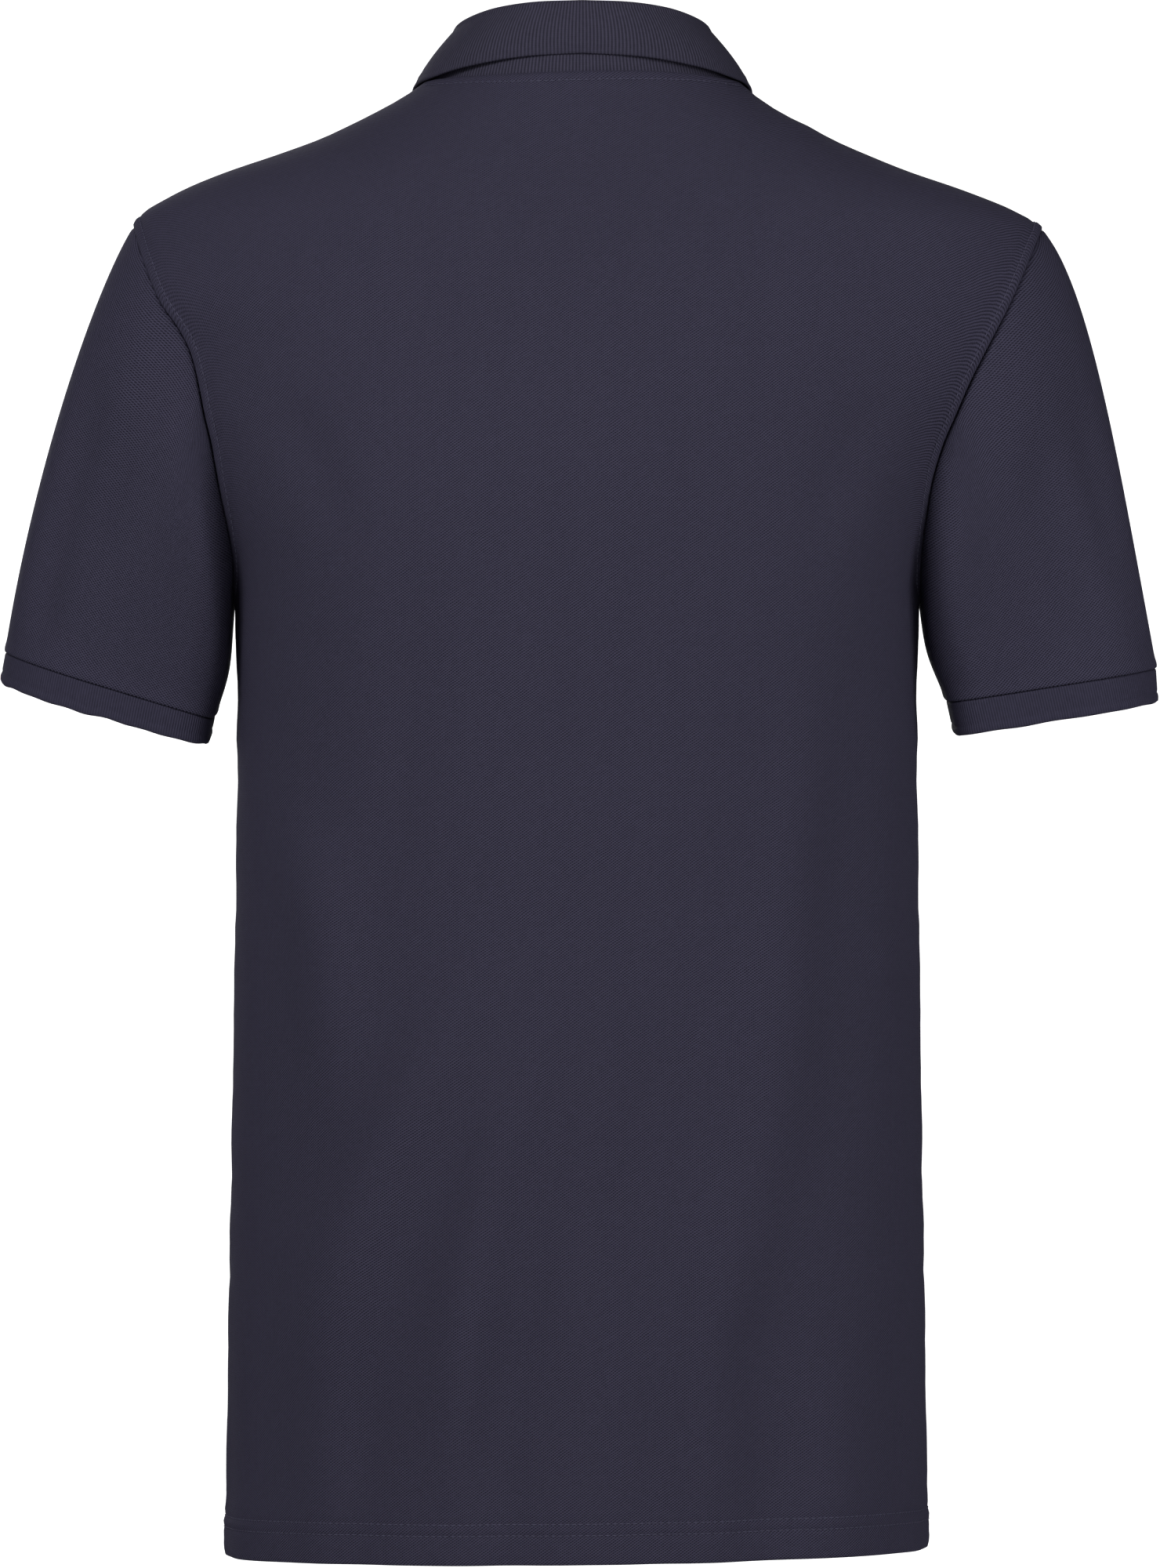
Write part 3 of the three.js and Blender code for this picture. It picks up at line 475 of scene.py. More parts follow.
# %% Creases
CREASES = rows(
    "face x0 z0 x1 z1 width depth",
    (1, 108, -688, 59, -533, 14, 3.1),
    (1, 130, -630, 38, -430, 20, -9.2),
    (1, 43, -710, 25, -586, 13, 3.1),
    (1, 60, -690, 8, -440, 17, -8.1),
    (1, -32, -706, -40, -556, 11, 2.4),
    (1, 0, -645, -22, -436, 17, -4.3),
    (1, -55, -640, -94, -405, 20, -6.5),
    (1, -97, -712, -75, -600, 17, 2.7),
    (1, -122, -718, -115, -632, 17, -2.4),
    (1, 156, -704, 145, -630, 17, 2.7),
    (1, 137, -360, 121, -510, 17, -7.0),
    (1, 156, -380, 158, -610, 15, 0.9),
    (1, -141, -268, -137, -450, 20, 2.2),
    (1, -118, -300, -108, -520, 17, -3.5),
    (1, 86, -34, 82, -140, 13, 2.0),
    (1, -100, -30, -94, -160, 13, 1.5),
    (1, 88, -205, 103, -430, 15, 2.3),
    (1, 22, -200, 26, -385, 13, 1.9),
    (1, -46, -200, -39, -355, 13, 1.2),
    (1, -155, -408, -166, -452, 7, 1.5),
    (1, -146, -438, -165, -415, 6, -2.2),
    (1, 152, -150, 112, -232, 13, 2.6),
    (1, -150, -150, -112, -236, 13, 1.8),
    (-1, 128, -640, 44, -440, 20, -4.6),
    (-1, 70, -700, 30, -500, 15, 2.0),
    (-1, -20, -705, -46, -470, 17, -4.9),
    (-1, -84, -700, -60, -560, 15, 2.7),
    (-1, -138, -690, -118, -420, 18, -4.3),
    (-1, 140, -262, 128, -450, 18, 2.3),
    (-1, -140, -262, -126, -430, 18, 2.3),
    (-1, 150, -120, 96, -214, 14, 2.3),
    (-1, -150, -122, -94, -220, 14, 2.3),
    (-1, 122, -90, 70, -170, 15, -3.2),
    (-1, -120, -92, -70, -176, 15, -3.2),
    (-1, 40, -225, 18, -330, 14, 1.6),
    (-1, -36, -225, -20, -345, 14, 1.6),
)


def crease_depth(face, x, z):
    """How far the creases sink the cloth. Each fades at both ends and along its sides."""
    total = np.zeros(x.shape)
    for i in np.flatnonzero(CREASES["face"] == face):
        x0, z0, x1, z1, width, depth = (
            CREASES[name][i] for name in ("x0", "z0", "x1", "z1", "width", "depth")
        )
        long = math.hypot(x1 - x0, z1 - z0)
        t = ((x - x0) * (x1 - x0) + (z - z0) * (z1 - z0)) / long**2
        bend = 0.05 * long * np.sin(math.pi * np.clip(t, 0, 1)) * math.copysign(1, x0)
        off = ((x - x0) * (z1 - z0) - (z - z0) * (x1 - x0)) / long - bend
        ends = smooth((t + 0.12) / 0.4) * smooth((1.15 - t) / 0.55)
        total += depth * ends * bell(off, 0, width)
    return total


print("creases:", len(CREASES["face"]))

# %% [markdown]
# ## The back and the front
# Each is one flat panel, cut on the fold and sewn at the sides and the shoulders. A single grid could
# cover it evenly, but the relief is finest at the edges. So its columns stand close together near the
# seam, and its rows near the hem. The same rule makes both panels.

# %% Panel grids
SHOULDER_SHARE = 8 / 13
SHOULDER_SPREAD = 1.5
NEAR_SEAM = np.linspace(0, 0.06, 12)
COLUMN_SHARES = np.concatenate([NEAR_SEAM, np.linspace(0.06, 1, 40)[1:]])
SLOT_COLUMNS = 3
HEM_ROWS = np.array([0, 1.2, 3, 5.5, 8.5, 11.5, 13, 14, 15, 16.7, 18.4, 19.5, 20.6, 22.5, 26, 31])
BODY_ROWS = np.concatenate([HEM_Z + HEM_ROWS, np.linspace(HEM_Z + 38, UNDERARM_Z, 62)])
YOKE_ROWS = 66


def section_xs(side, face, z, shares):
    """Places across at shares of the way along the cloth from the side seam to the slot."""
    wide = float(half_width(side, face, z))
    square = float(along(SECTIONS, "z", z, "square"))
    depth = float(along(SECTIONS, "z", z, "back" if face > 0 else "front"))
    x = wide * np.cos(np.linspace(0, np.pi / 2, 500)) ** (2 / square)
    y = depth * np.sqrt(np.maximum(0, 1 - (x / wide) ** square))
    length = np.concatenate([[0], np.cumsum(np.hypot(np.diff(x), np.diff(y)))])
    stop = np.interp(-SLOT_HALF, -x, length)
    return np.interp(shares * stop, length, x)


def half_panel(side, face):
    """Rows of points from the side seam or armhole to the middle, from the hem to the top."""
    part = SIDES[side]
    shares = COLUMN_SHARES
    slot = SLOT_HALF * (1 - np.arange(1, SLOT_COLUMNS + 1) / SLOT_COLUMNS)
    on_shoulder = shares <= SHOULDER_SHARE
    out = 1 - np.clip(shares / SHOULDER_SHARE, 0, 1) ** SHOULDER_SPREAD
    by_out = dict(out=SHOULDER_LINE[side], drop=SHOULDER_LINE["drop"])
    shoulder_x = mix(NECK_HALF, part["tip_x"], out)
    shoulder_z = mix(NECK_SIDE_Z, part["tip_z"], along(by_out, "out", out, "drop"))
    last = math.acos(SLOT_HALF / NECK_HALF)
    neck_x = NECK_HALF * np.cos(last * np.clip((shares - SHOULDER_SHARE) / (1 - SHOULDER_SHARE), 0, 1))
    top_x = np.where(on_shoulder, shoulder_x, neck_x)
    top_z = np.where(on_shoulder, shoulder_z, neckline_z(face, part["sign"] * neck_x))
    top_z = np.concatenate([top_z, neckline_z(face, part["sign"] * slot)])
    lines = []
    for z in BODY_ROWS:
        x = np.concatenate([section_xs(side, face, z, shares), slot])
        y = cloth_y(face, part["sign"] * x, np.full_like(x, z))
        y[0] = 0
        lines.append(np.stack([part["sign"] * x, y, np.full_like(x, z)], 1))
    low = section_xs(side, face, UNDERARM_Z, shares)
    for row in range(1, YOKE_ROWS + 1):
        v = row / YOKE_ROWS
        rise = rise_at(v)
        seam_x, seam_y, _ = armhole(side, face, rise)
        low_share = (low - SLOT_HALF) / (low[0] - SLOT_HALF)
        top_share = (top_x - SLOT_HALF) / (part["tip_x"] - SLOT_HALF)
        x = SLOT_HALF + (seam_x - SLOT_HALF) * mix(low_share, top_share, smooth(v))
        x = np.concatenate([x, slot])
        z = mix(UNDERARM_Z, top_z, rise)
        y = cloth_y(face, part["sign"] * x, z)
        y[0] = face * seam_y
        if row == YOKE_ROWS:
            y[: len(shares)][on_shoulder] = 0
        lines.append(np.stack([part["sign"] * x, y, z], 1))
    return np.array(lines)


def panel(face):
    left = half_panel("left", face)
    right = half_panel("right", face)[:, ::-1]
    return np.concatenate([left, right[:, 1:]], 1)


print("rows up a panel:", len(BODY_ROWS) + YOKE_ROWS)

# %% [markdown]
# The relief is a sum of layers: the seams, the turned hem with its two rows of stitches, the puckers that
# sewing leaves, and the creases. Each layer has its own height and fades away from its seam. The same
# points then give the lines that the stitches follow, a little above the cloth.

# %% Panels
STITCH_LIFT = 0.25
UNDERARM_BLEND = 8
ARMHOLE_HEIGHT = 0.85
NECK_HEIGHT = 0.7
HEM_HEIGHT = 0.45
HEM_ROW_DEPTH = 0.6
HEM_SWAY = 0.9
CALM_AT_SIDE = 24
CALM_AT_NECK = 20
SLOT_FOOT_SHARE = 5 / 16
slot_foot_z = mix(UNDERARM_Z, NECK_FRONT_Z, rise_at(SLOT_FOOT_SHARE))
stitch_lines = {}


def level_line(grid, values, level, backwards=False):
    """Points where values first reach a level, going along each row of the grid."""
    points = []
    for line, row in zip(grid[:, ::-1] if backwards else grid, values[:, ::-1] if backwards else values):
        hits = np.flatnonzero(row >= level)
        if len(hits) and hits[0] > 0:
            k = hits[0]
            t = (level - row[k - 1]) / max(row[k] - row[k - 1], 1e-9)
            points.append(mix(line[k - 1], line[k], t))
    return np.array(points)


def panel_relief(face, grid, hem, side, seam, neck, ridge, across):
    """How far each point of a panel stands out, from its distances to the hem and to each seam."""
    body = smooth((UNDERARM_Z - grid[..., 2]) / UNDERARM_BLEND + 0.5)
    armhole_welt = welt(seam, ARMHOLE_HEIGHT) - 0.45 * bell(seam, SEAM_TO_STITCH + 1.2, 1.3)
    seams = armhole_welt * (1 - 0.75 * body) * smooth(ridge / 9) + welt(neck, NECK_HEIGHT)
    seams = seams - 0.6 * bell(side, 0, 1.1) * body - 0.45 * bell(ridge, 0, 1.2)
    doubled = 1 - smooth((hem - HEM_STITCHES[1] + 0.6) / 1.8)
    turning = HEM_HEIGHT * doubled - 0.5 * bell(hem, 0, 1.4)
    for row in HEM_STITCHES:
        turning = turning - HEM_ROW_DEPTH * bell(hem, row, 1.1)
    # seed, direction of the waves, pitch and height in mm, and where they are
    pulls = (
        (11, across, 12, 0.42, bell(hem, 16.5, 9)),
        (41, across + 2 * hem, 9, 0.22, bell(hem, 27, 9)),
        (47, hem, 8, 0.3, bell(side, 12, 11) * body),
        (53, hem, 46, 0.5, bell(side, 0, 34) * body),
        (23, hem + 0.4 * seam, 14, 0.22, bell(seam, 7, 5) * (1 - body)),
    )
    puckers = sum(
        wander(seed + face, s, pitch) * height * where for seed, s, pitch, height, where in pulls
    )
    sway = wander(17 + face, across, 60) * HEM_SWAY * (1 - smooth(hem / 160))
    folds = sway - crease_depth(face, grid[..., 0], grid[..., 2])
    return seams + turning + puckers + folds * smooth(side / CALM_AT_SIDE) * smooth(neck / CALM_AT_NECK)


def make_panel(name, face):
    grid = panel(face)
    normals = unit_normals(grid, flip=face < 0)
    count = grid.shape[1]
    middle = count // 2
    yoke_from = len(BODY_ROWS) - 1
    shoulder = int(np.searchsorted(COLUMN_SHARES, SHOULDER_SHARE, side="right"))
    hem = arc(grid, 0)
    across = arc(grid, 1)
    side = np.minimum(across, across[:, -1:] - across)
    ends = {"left": grid[yoke_from:, 0], "right": grid[yoke_from:, -1]}
    seams = {key: distance_to(grid, end) for key, end in ends.items()}
    neck = distance_to(grid, grid[-1, shoulder - 1 : count - shoulder + 1])
    ridges = [distance_to(grid, part) for part in (grid[-1, :shoulder], grid[-1, count - shoulder :])]
    wide = arc(grid * (1, 1, 0), 1)
    uv = np.stack([wide - wide[:, middle : middle + 1], arc(grid * (0, 1, 1), 0)], -1)
    seam = np.minimum(seams["left"], seams["right"])
    bump = panel_relief(face, grid, hem, side, seam, neck, np.minimum(*ridges), uv[..., 0])
    kept = None
    if face < 0:
        above = grid[:-1, middle, 2] >= slot_foot_z
        inside = np.abs(np.arange(count - 1) + 0.5 - middle) < SLOT_COLUMNS
        kept = ~(above[:, None] & inside[None, :])
    piece = cloth_mesh(name, grid, normals, uv, PIQUE, kept=kept, bump=bump)
    surface = hang(grid + normals * (bump + STITCH_LIFT)[..., None])
    for key, distance in seams.items():
        stitch_lines[f"{name}_armhole_{key}"] = level_line(
            surface[yoke_from:], distance[yoke_from:], SEAM_TO_STITCH, key == "right"
        )
    turned = np.swapaxes(surface, 0, 1)
    for number, height in enumerate(HEM_STITCHES, 1):
        stitch_lines[f"{name}_hem_{number}"] = level_line(turned, hem.T, height)
    top = slice(shoulder, count - shoulder)
    stitch_lines[f"{name}_neck"] = level_line(turned[top], neck.T[top], SEAM_TO_STITCH, True)
    return piece


back = make_panel("cloth_back", 1)
front = make_panel("cloth_front", -1)
print("vertices in the back and the front:", len(back.data.vertices), len(front.data.vertices))

# %% [markdown]
# ## The sleeves
# A set-in sleeve is a flat piece with a rounded head, sewn into the armhole. A tube with bones would
# bend, but would not meet the armhole. So each line of cloth is a Bezier curve from the armhole seam to
# the ring of the sleeve's band. At the top it leaves in the direction that the table gives, and at the
# band it arrives square. A sleeve fold's `around` is a share of the way round from the underarm.

# %% Sizes of the sleeves
SLEEVE_COLUMNS = 120
SLEEVE_ROWS = 46
ROWS_NEAR_BAND = (0.0035, 0.007, 0.011, 0.016)
SEAM_GAP = 0.15
TIP_DROP = 0.25
TIP_FROM = 0.8
TIP_BLEND = 0.2
FOLD_FADE = 0.25
HELD_AT_SEAM = 0.2
HELD_AT_BAND = 0.12
SLEEVE_SQUARE = 2.5
SLEEVE_SQUARE_INSIDE = 6.5
SLEEVE_START = rows(
    "rise out away down handle",
    (0, 0.03, 0, 1, 0.55),
    (0.2, 0.24, 0.5, 0.95, 0.38),
    (0.45, 0.42, 0.38, 0.9, 0.32),
    (0.7, 0.5, 0.08, 0.86, 0.28),
    (0.9, 0.5, -0.08, 0.86, 0.2),
    (1, 0.5, 0, 0.86, 0.17),
)
SLEEVE_END_HANDLE = 0.42
SLEEVE_FOLDS = {
    "left": rows(
        "around top bottom width depth",
        (0.36, 0.3, 1, 0.035, 4.0),
        (0.14, 0.0, 0.8, 0.03, 0.3),
        (0.72, 0.25, 1, 0.035, 2.4),
        (0.22, 0.05, 1, 0.04, -1.6),
        (0.31, 0.25, 0.85, 0.02, 1.2),
        (0.42, 0.35, 1, 0.03, -1.2),
        (0.62, 0.1, 0.9, 0.04, -1.5),
        (0.84, 0.05, 0.8, 0.03, 1.8),
    ),
    "right": rows(
        "around top bottom width depth",
        (0.3, 0.25, 1, 0.04, 3.2),
        (0.12, 0.0, 0.8, 0.03, 0.3),
        (0.68, 0.25, 1, 0.035, 2.4),
        (0.2, 0.2, 1, 0.045, -2.0),
        (0.38, 0.3, 0.9, 0.025, 1.6),
        (0.44, 0.4, 1, 0.025, -1.3),
        (0.6, 0.1, 0.9, 0.04, -1.5),
        (0.85, 0.05, 0.8, 0.03, 1.8),
    ),
}
print("folds in the sleeves:", {side: len(folds["around"]) for side, folds in SLEEVE_FOLDS.items()})


# %% Sleeves
def arm_ring(side, ring, count):
    """Points round the arm, and which way is up along it. The ring is squarer inside at the back."""
    sign = SIDES[side]["sign"]
    tilt = math.radians(ring["tilt"])
    lean = math.radians(ring["lean"])
    outwards = np.array([sign * math.cos(tilt), 0, math.sin(tilt)])
    backwards = np.array([0, math.cos(lean), -math.sin(lean)])
    centre = np.array([sign * ring["x"], ring["y"], ring["z"]])
    angle = 2 * np.pi * np.arange(count) / count
    inside_back = np.clip(np.cos(angle), 0, 1) * (np.sin(angle) > 0)
    power = 2 / mix(SLEEVE_SQUARE, SLEEVE_SQUARE_INSIDE, smooth(4 * inside_back))
    inside = np.copysign(np.abs(np.cos(angle)) ** power, np.cos(angle))
    behind = np.copysign(np.abs(np.sin(angle)) ** power, np.sin(angle))
    points = centre - ring["across"] * inside[:, None] * outwards
    points = points + ring["deep"] * behind[:, None] * backwards
    up = np.cross(outwards, backwards)
    return points, sign * up / np.linalg.norm(up)


def unit_rows(v):
    return v / np.linalg.norm(v, axis=-1, keepdims=True)


def sleeve_steps():
    """Rows down a sleeve, close together at the seam and at the band."""
    even = np.linspace(0, 1, SLEEVE_ROWS + 1) ** 1.15
    near_band = 1 - np.array(ROWS_NEAR_BAND)
    return np.sort(np.concatenate([even, near_band]))


def sleeve_grid(side):
    part = SIDES[side]
    sign = part["sign"]
    half = SLEEVE_COLUMNS // 2
    j = np.arange(SLEEVE_COLUMNS)
    face = np.where(j <= half, 1, -1)
    rise = rise_at(np.where(j <= half, j / half, 2 - j / half))
    back_x, back_y, z = armhole(side, 1, rise)
    _, front_y, _ = armhole(side, -1, rise)
    start_y = np.where(face > 0, back_y, -front_y)
    start = np.stack([sign * (back_x + SEAM_GAP), start_y, z - TIP_DROP * rise], 1)
    end, up = arm_ring(side, part["seam_ring"], SLEEVE_COLUMNS)
    out, away, down, handle = (
        along(SLEEVE_START, "rise", rise, name) for name in ("out", "away", "down", "handle")
    )
    tip = math.tan(math.radians(part["tip_lean"])) * down
    out = mix(out, tip, smooth((rise - TIP_FROM) / TIP_BLEND))
    heading = unit_rows(np.stack([sign * out, face * away, -down], 1))
    reach = np.linalg.norm(start - end, axis=1, keepdims=True)
    first = start + heading * reach * handle[:, None]
    turn = (1 - np.cos(2 * np.pi * j / SLEEVE_COLUMNS)) / 2
    lean = np.radians(mix(part["inner_lean"], part["outer_lean"], turn))
    arrive = unit_rows(np.stack([-sign * np.sin(lean), np.full_like(lean, up[1]), np.cos(lean)], 1))
    second = end + arrive * reach * SLEEVE_END_HANDLE
    t = sleeve_steps()[:, None, None]
    return (
        (1 - t) ** 3 * start + 3 * t * (1 - t) ** 2 * first + 3 * t * t * (1 - t) * second + t**3 * end
    )


def make_sleeve(side):
    grid = sleeve_grid(side)
    flip = side == "right"
    t = sleeve_steps()[:, None]
    around = (np.arange(SLEEVE_COLUMNS) / SLEEVE_COLUMNS)[None, :]
    folds = SLEEVE_FOLDS[side]
    sink = np.zeros(grid.shape[:2])
    for place, top, bottom, width, depth in zip(*folds.values()):
        ends = smooth((t - top) / FOLD_FADE)
        if bottom < 1:
            ends = ends * smooth((bottom - t) / FOLD_FADE)
        sink += depth * ends * bell(around, place, width)
    held = smooth(t / HELD_AT_SEAM) * smooth((1 - t) / HELD_AT_BAND)
    grid = grid - unit_normals(grid, True, flip) * (sink * held)[..., None]
    down = arc(grid, 0)
    round_arc = arc(grid, 1)
    to_cuff = down[-1:] - down
    uv = np.stack([np.broadcast_to(round_arc[-1:], down.shape), to_cuff], -1)
    bump = 0.45 * bell(to_cuff, 1.6, 2.6) - 0.15 * bell(to_cuff, 0, 0.5) - 0.5 * bell(down, 0, 1.0)
    bump = bump + wander(31 + flip, round_arc, 16) * 0.3 * bell(down, 5, 5) * smooth(down / 3)
    normals = unit_normals(grid, True, flip)
    return cloth_mesh(f"cloth_sleeve_{side}", grid, normals, uv, PIQUE, closed=True, bump=bump)


sleeves = {side: make_sleeve(side) for side in SIDES}
print("sleeve vertices:", [len(s.data.vertices) for s in sleeves.values()])

# %% [markdown]
# ## The sleeve bands
# A band is a doubled strip of rib, sewn to the sleeve's end. A plain ring would look like a pipe. This
# one tucks under the sleeve at its seam, is thicker where it is folded, and its lower edge ripples.

# %% Sleeve bands
BAND_COLUMNS = 240
BAND_TUCK = 0.1
BAND_RIPPLE = 0.55


def make_cuff(side):
    part = SIDES[side]
    top, _ = arm_ring(side, part["seam_ring"], BAND_COLUMNS)
    bottom, _ = arm_ring(side, part["edge_ring"], BAND_COLUMNS)
    t = np.concatenate([np.linspace(-BAND_TUCK, 0.16, 14), np.linspace(0.2, 1, 14)])[:, None, None]
    grid = top * (1 - t) + bottom * t
    ripple = wander(61 + len(side), arc(grid, 1), 30)[..., None] * smooth(t)
    grid = grid - ripple * BAND_RIPPLE * unit_rows(bottom - top)
    down = arc(grid, 0)
    to_edge = down[-1:] - down
    to_seam = np.abs(down[-1:] / (1 + BAND_TUCK) - to_edge)
    folded = 0.3 * bell(to_edge, 1.8, 1.6) - 0.35 * bell(to_edge, 4.0, 0.7)
    bump = folded - 0.3 - 1.6 * bell(to_seam, 0, 0.8)
    uv = np.stack([arc(grid, 1), to_edge], -1)
    normals = unit_normals(grid, True, side == "right")
    return cloth_mesh(f"rib_cuff_{side}", grid, normals, uv, RIB, closed=True, bump=bump)


cuffs = {side: make_cuff(side) for side in SIDES}
print("band vertices:", [len(c.data.vertices) for c in cuffs.values()])

# %% [markdown]
# ## The collar
# The collar is one strip of rib knit. It stands up from the neck seam, turns over a fold, and comes down
# as a leaf that ends in two points at the front. A strip could be bent along a curve, but its height and
# its turn change all the way round. So one profile is worked out at each place round the neck, and the
# table says where its fold and its edge are. `turn` is 0 at the back and 1 at the front.

# %% Collar
COLLAR = rows(
    "turn fold_x fold_y fold_z edge_x edge_y edge_z",
    (0, 0, 57, 40.8, 0, 63.4, 15.4),
    (0.125, 23.4, 53, 40.2, 30.5, 59, 13.8),
    (0.25, 43, 41, 38, 57.6, 45.4, 9.8),
    (0.375, 56.2, 22, 34.4, 74.6, 24.6, 5.8),
    (0.5, 61.2, 0, 31.4, 82, 0, 4),
    (0.5625, 60.8, -11, 27.4, 84.4, -16.4, 0.4),
    (0.625, 58, -21, 20, 84.8, -31, -11),
    (0.75, 47, -37, 1, 76, -50, -38),
    (0.875, 26, -50, -20, 64, -67, -66),
    (1, 2.4, -56, -36, 48, -84, -93),
)
COLLAR_END_X = 2.2
COLLAR_FOLD_RADIUS = 2.7
COLLAR_BULGE = 1.8
STAND_BULGE = 1.4
COLLAR_COLUMNS = 110
STAND_INSET = 0.9
STAND_DROP = 2.5


def neck_x(turn, face):
    """Place across on the neck seam, at a share of the way from the back to the front."""
    if face > 0:
        return NECK_HALF * float(along(COLLAR, "turn", turn, "fold_x")) / COLLAR["fold_x"].max()
    s = abs(turn - 0.5) * 2
    last = math.acos(SLOT_HALF / NECK_HALF)
    if s <= 5 / 6:
        return NECK_HALF * math.cos(last * s * 6 / 5)
    return mix(SLOT_HALF, COLLAR_END_X, (s - 5 / 6) * 6)


def collar_profile(turn, sign):
    """Points up the stand, over the fold and down the leaf."""
    face = 1 if turn < 0.5 else -1
    x = neck_x(turn, face)
    z = float(neckline_z(face, sign * x))
    y = 0.0 if abs(turn - 0.5) < 1e-9 else float(cloth_y(face, sign * x, z))
    seam = np.array([sign * x, y, z])
    read = {name: float(along(COLLAR, "turn", turn, name)) for name in COLLAR}
    fold = np.array([sign * read["fold_x"], read["fold_y"], read["fold_z"]])
    edge = np.array([sign * read["edge_x"], read["edge_y"], read["edge_z"]])
    up = np.array([0, 0, 1.0])
    out = (edge - fold) * (1, 1, 0)
    out /= np.linalg.norm(out)
    inwards = -seam * (1, 1, 0) / np.linalg.norm(seam[:2])
    base = seam + inwards * STAND_INSET - up * STAND_DROP
    centre = fold - up * COLLAR_FOLD_RADIUS

    def on_fold(angle):
        return centre + COLLAR_FOLD_RADIUS * (up * math.sin(angle) - out * math.cos(angle))

    points = [
        mix(base, on_fold(0), t) + out * STAND_BULGE * math.sin(math.pi * t)
        for t in np.linspace(0, 1, 12, endpoint=False)
    ]
    points += [on_fold(a) for a in np.linspace(0, math.pi, 9, endpoint=False)]
    for t in np.linspace(0, 1, 18):
        points.append(mix(on_fold(math.pi), edge, t) + out * COLLAR_BULGE * math.sin(math.pi * t))
    return points


turns = np.linspace(0, 1, COLLAR_COLUMNS // 2 + 1)
columns = [collar_profile(t, 1) for t in turns[::-1]] + [collar_profile(t, -1) for t in turns[1:]]
collar_grid = np.swapaxes(np.array(columns), 0, 1)
collar_normals = unit_normals(collar_grid)
collar_across = arc(collar_grid, 1)
middle_row = collar_across[-9]
collar_up = arc(collar_grid, 0)
to_edge = collar_up[-1:] - collar_up
collar_uv = np.stack([np.broadcast_to(middle_row, collar_up.shape), to_edge], -1)
leaf_bump = RIB / 2 + 0.12 * bell(to_edge, 1.8, 1.6) - 0.2 * bell(to_edge, 4.6, 0.9)
collar = cloth_mesh("rib_collar", collar_grid, collar_normals, collar_uv, RIB, bump=leaf_bump)
print("collar: leaf at the back in mm:", round(float(to_edge[21, COLLAR_COLUMNS // 2]), 1))

# %% [markdown]
# ## The placket
# Two strips close the slot in the front. They could be cut out of the front, but really they are sewn
# on: the top strip down all its edges, and the other behind the slot. Each is its own wall of cloth that
# follows the front's curve.

# %% Placket
STRIP_HALF = 15.5
STRIP_WALL = 1.4
STRIP_GAP = 0.3
STRIP_STITCH_INSET = 2.2
STRIP_STITCH_LIFT = 0.1
FOOT_OVERLAP = 9
NECK_GAP = 0.2
UNDER_GAP = 0.5
strip_x = np.linspace(STRIP_HALF, -STRIP_HALF, 25)
strip_t = np.linspace(0, 1, 50)[:, None]
strip_z = mix(slot_foot_z - FOOT_OVERLAP, neckline_z(-1, strip_x)[None, :] - NECK_GAP, strip_t)
strip_grid = np.stack(
    [np.broadcast_to(strip_x, strip_z.shape), cloth_y(-1, strip_x[None, :], strip_z), strip_z], -1
)
strip_normals = unit_normals(strip_grid, flip=True)
strip_up = arc(strip_grid, 0)
strip_uv = np.stack([strip_grid[..., 0], strip_up], -1)
border = np.minimum(STRIP_HALF - np.abs(strip_grid[..., 0]), strip_up)
strip_bump = -0.25 * bell(border, STRIP_STITCH_INSET, 0.8) - 0.4 * bell(border, 0, 0.8)


def strip_layer(lift):
    """The strip's grid, moved out from the front's face."""
    return strip_grid + strip_normals * lift


placket_top = cloth_mesh(
    "cloth_placket_top", strip_layer(STRIP_GAP + STRIP_WALL), strip_normals, strip_uv, STRIP_WALL,
    bump=strip_bump,
)
placket_under = cloth_mesh(
    "cloth_placket_under", strip_layer(-PIQUE - UNDER_GAP), strip_normals, strip_uv, STRIP_WALL,
    bump=np.zeros(strip_z.shape),
)
strip_face = hang(strip_layer(STRIP_GAP + STRIP_WALL + STRIP_STITCH_LIFT))
left_column = int(np.argmin(np.abs(strip_x - (STRIP_HALF - STRIP_STITCH_INSET))))
right_column = len(strip_x) - 1 - left_column
foot_row = int(np.argmin(np.abs(strip_up[:, len(strip_x) // 2] - STRIP_STITCH_INSET)))
stitch_lines["placket"] = np.concatenate(
    [
        strip_face[foot_row:, left_column][::-1],
        strip_face[foot_row, left_column + 1 : right_column],
        strip_face[foot_row:, right_column],
    ]
)
print("placket in mm:", round(float(strip_up.max())), "long,", 2 * STRIP_HALF, "wide")

# %% [markdown]
# ## The buttons
# A button is turned, so half its outline, a table of radius and height, is enough: a raised rim, a dished
# middle, and a rounded back. A Screw modifier would spin it too, but its base must follow the front's
# slope. Its thread crosses through four holes, drawn here as two short bars over dark discs of painted
# shade where the holes are, and a ring of cord binds the buttonhole round it.

# %% Buttons
BUTTON_HEIGHTS = (-73, -125, -177)
SHANK = 0.45
CORD_SEAT = 0.12
BUTTON_LIFT = STRIP_GAP + STRIP_WALL + SHANK
CORD_LIFT = STRIP_GAP + STRIP_WALL + CORD_SEAT
BUTTON_OUTLINE = [
    (0.0, 1.5), (1.1, 1.45), (2.4, 1.4), (3.3, 1.45), (3.9, 1.75), (4.4, 2.2), (4.9, 2.4),
    (5.4, 2.3), (5.75, 1.9), (5.8, 1.4), (5.55, 0.8), (4.9, 0.35), (3.6, 0.1), (0.0, 0.05),
]
BUTTON_STEPS = 48
HOLE_OFF = 1.2
HOLE_HEIGHT = 1.55
HOLE_DEPTH = 0.6
HOLE_RADIUS = 0.75
THREAD_RADIUS = 0.38
THREAD_ARCH = 0.35
CORD_RADIUS = 0.5
BUTTONHOLE_HALF = (1.1, 7.6)
BUTTONHOLE_DROP = 1.5


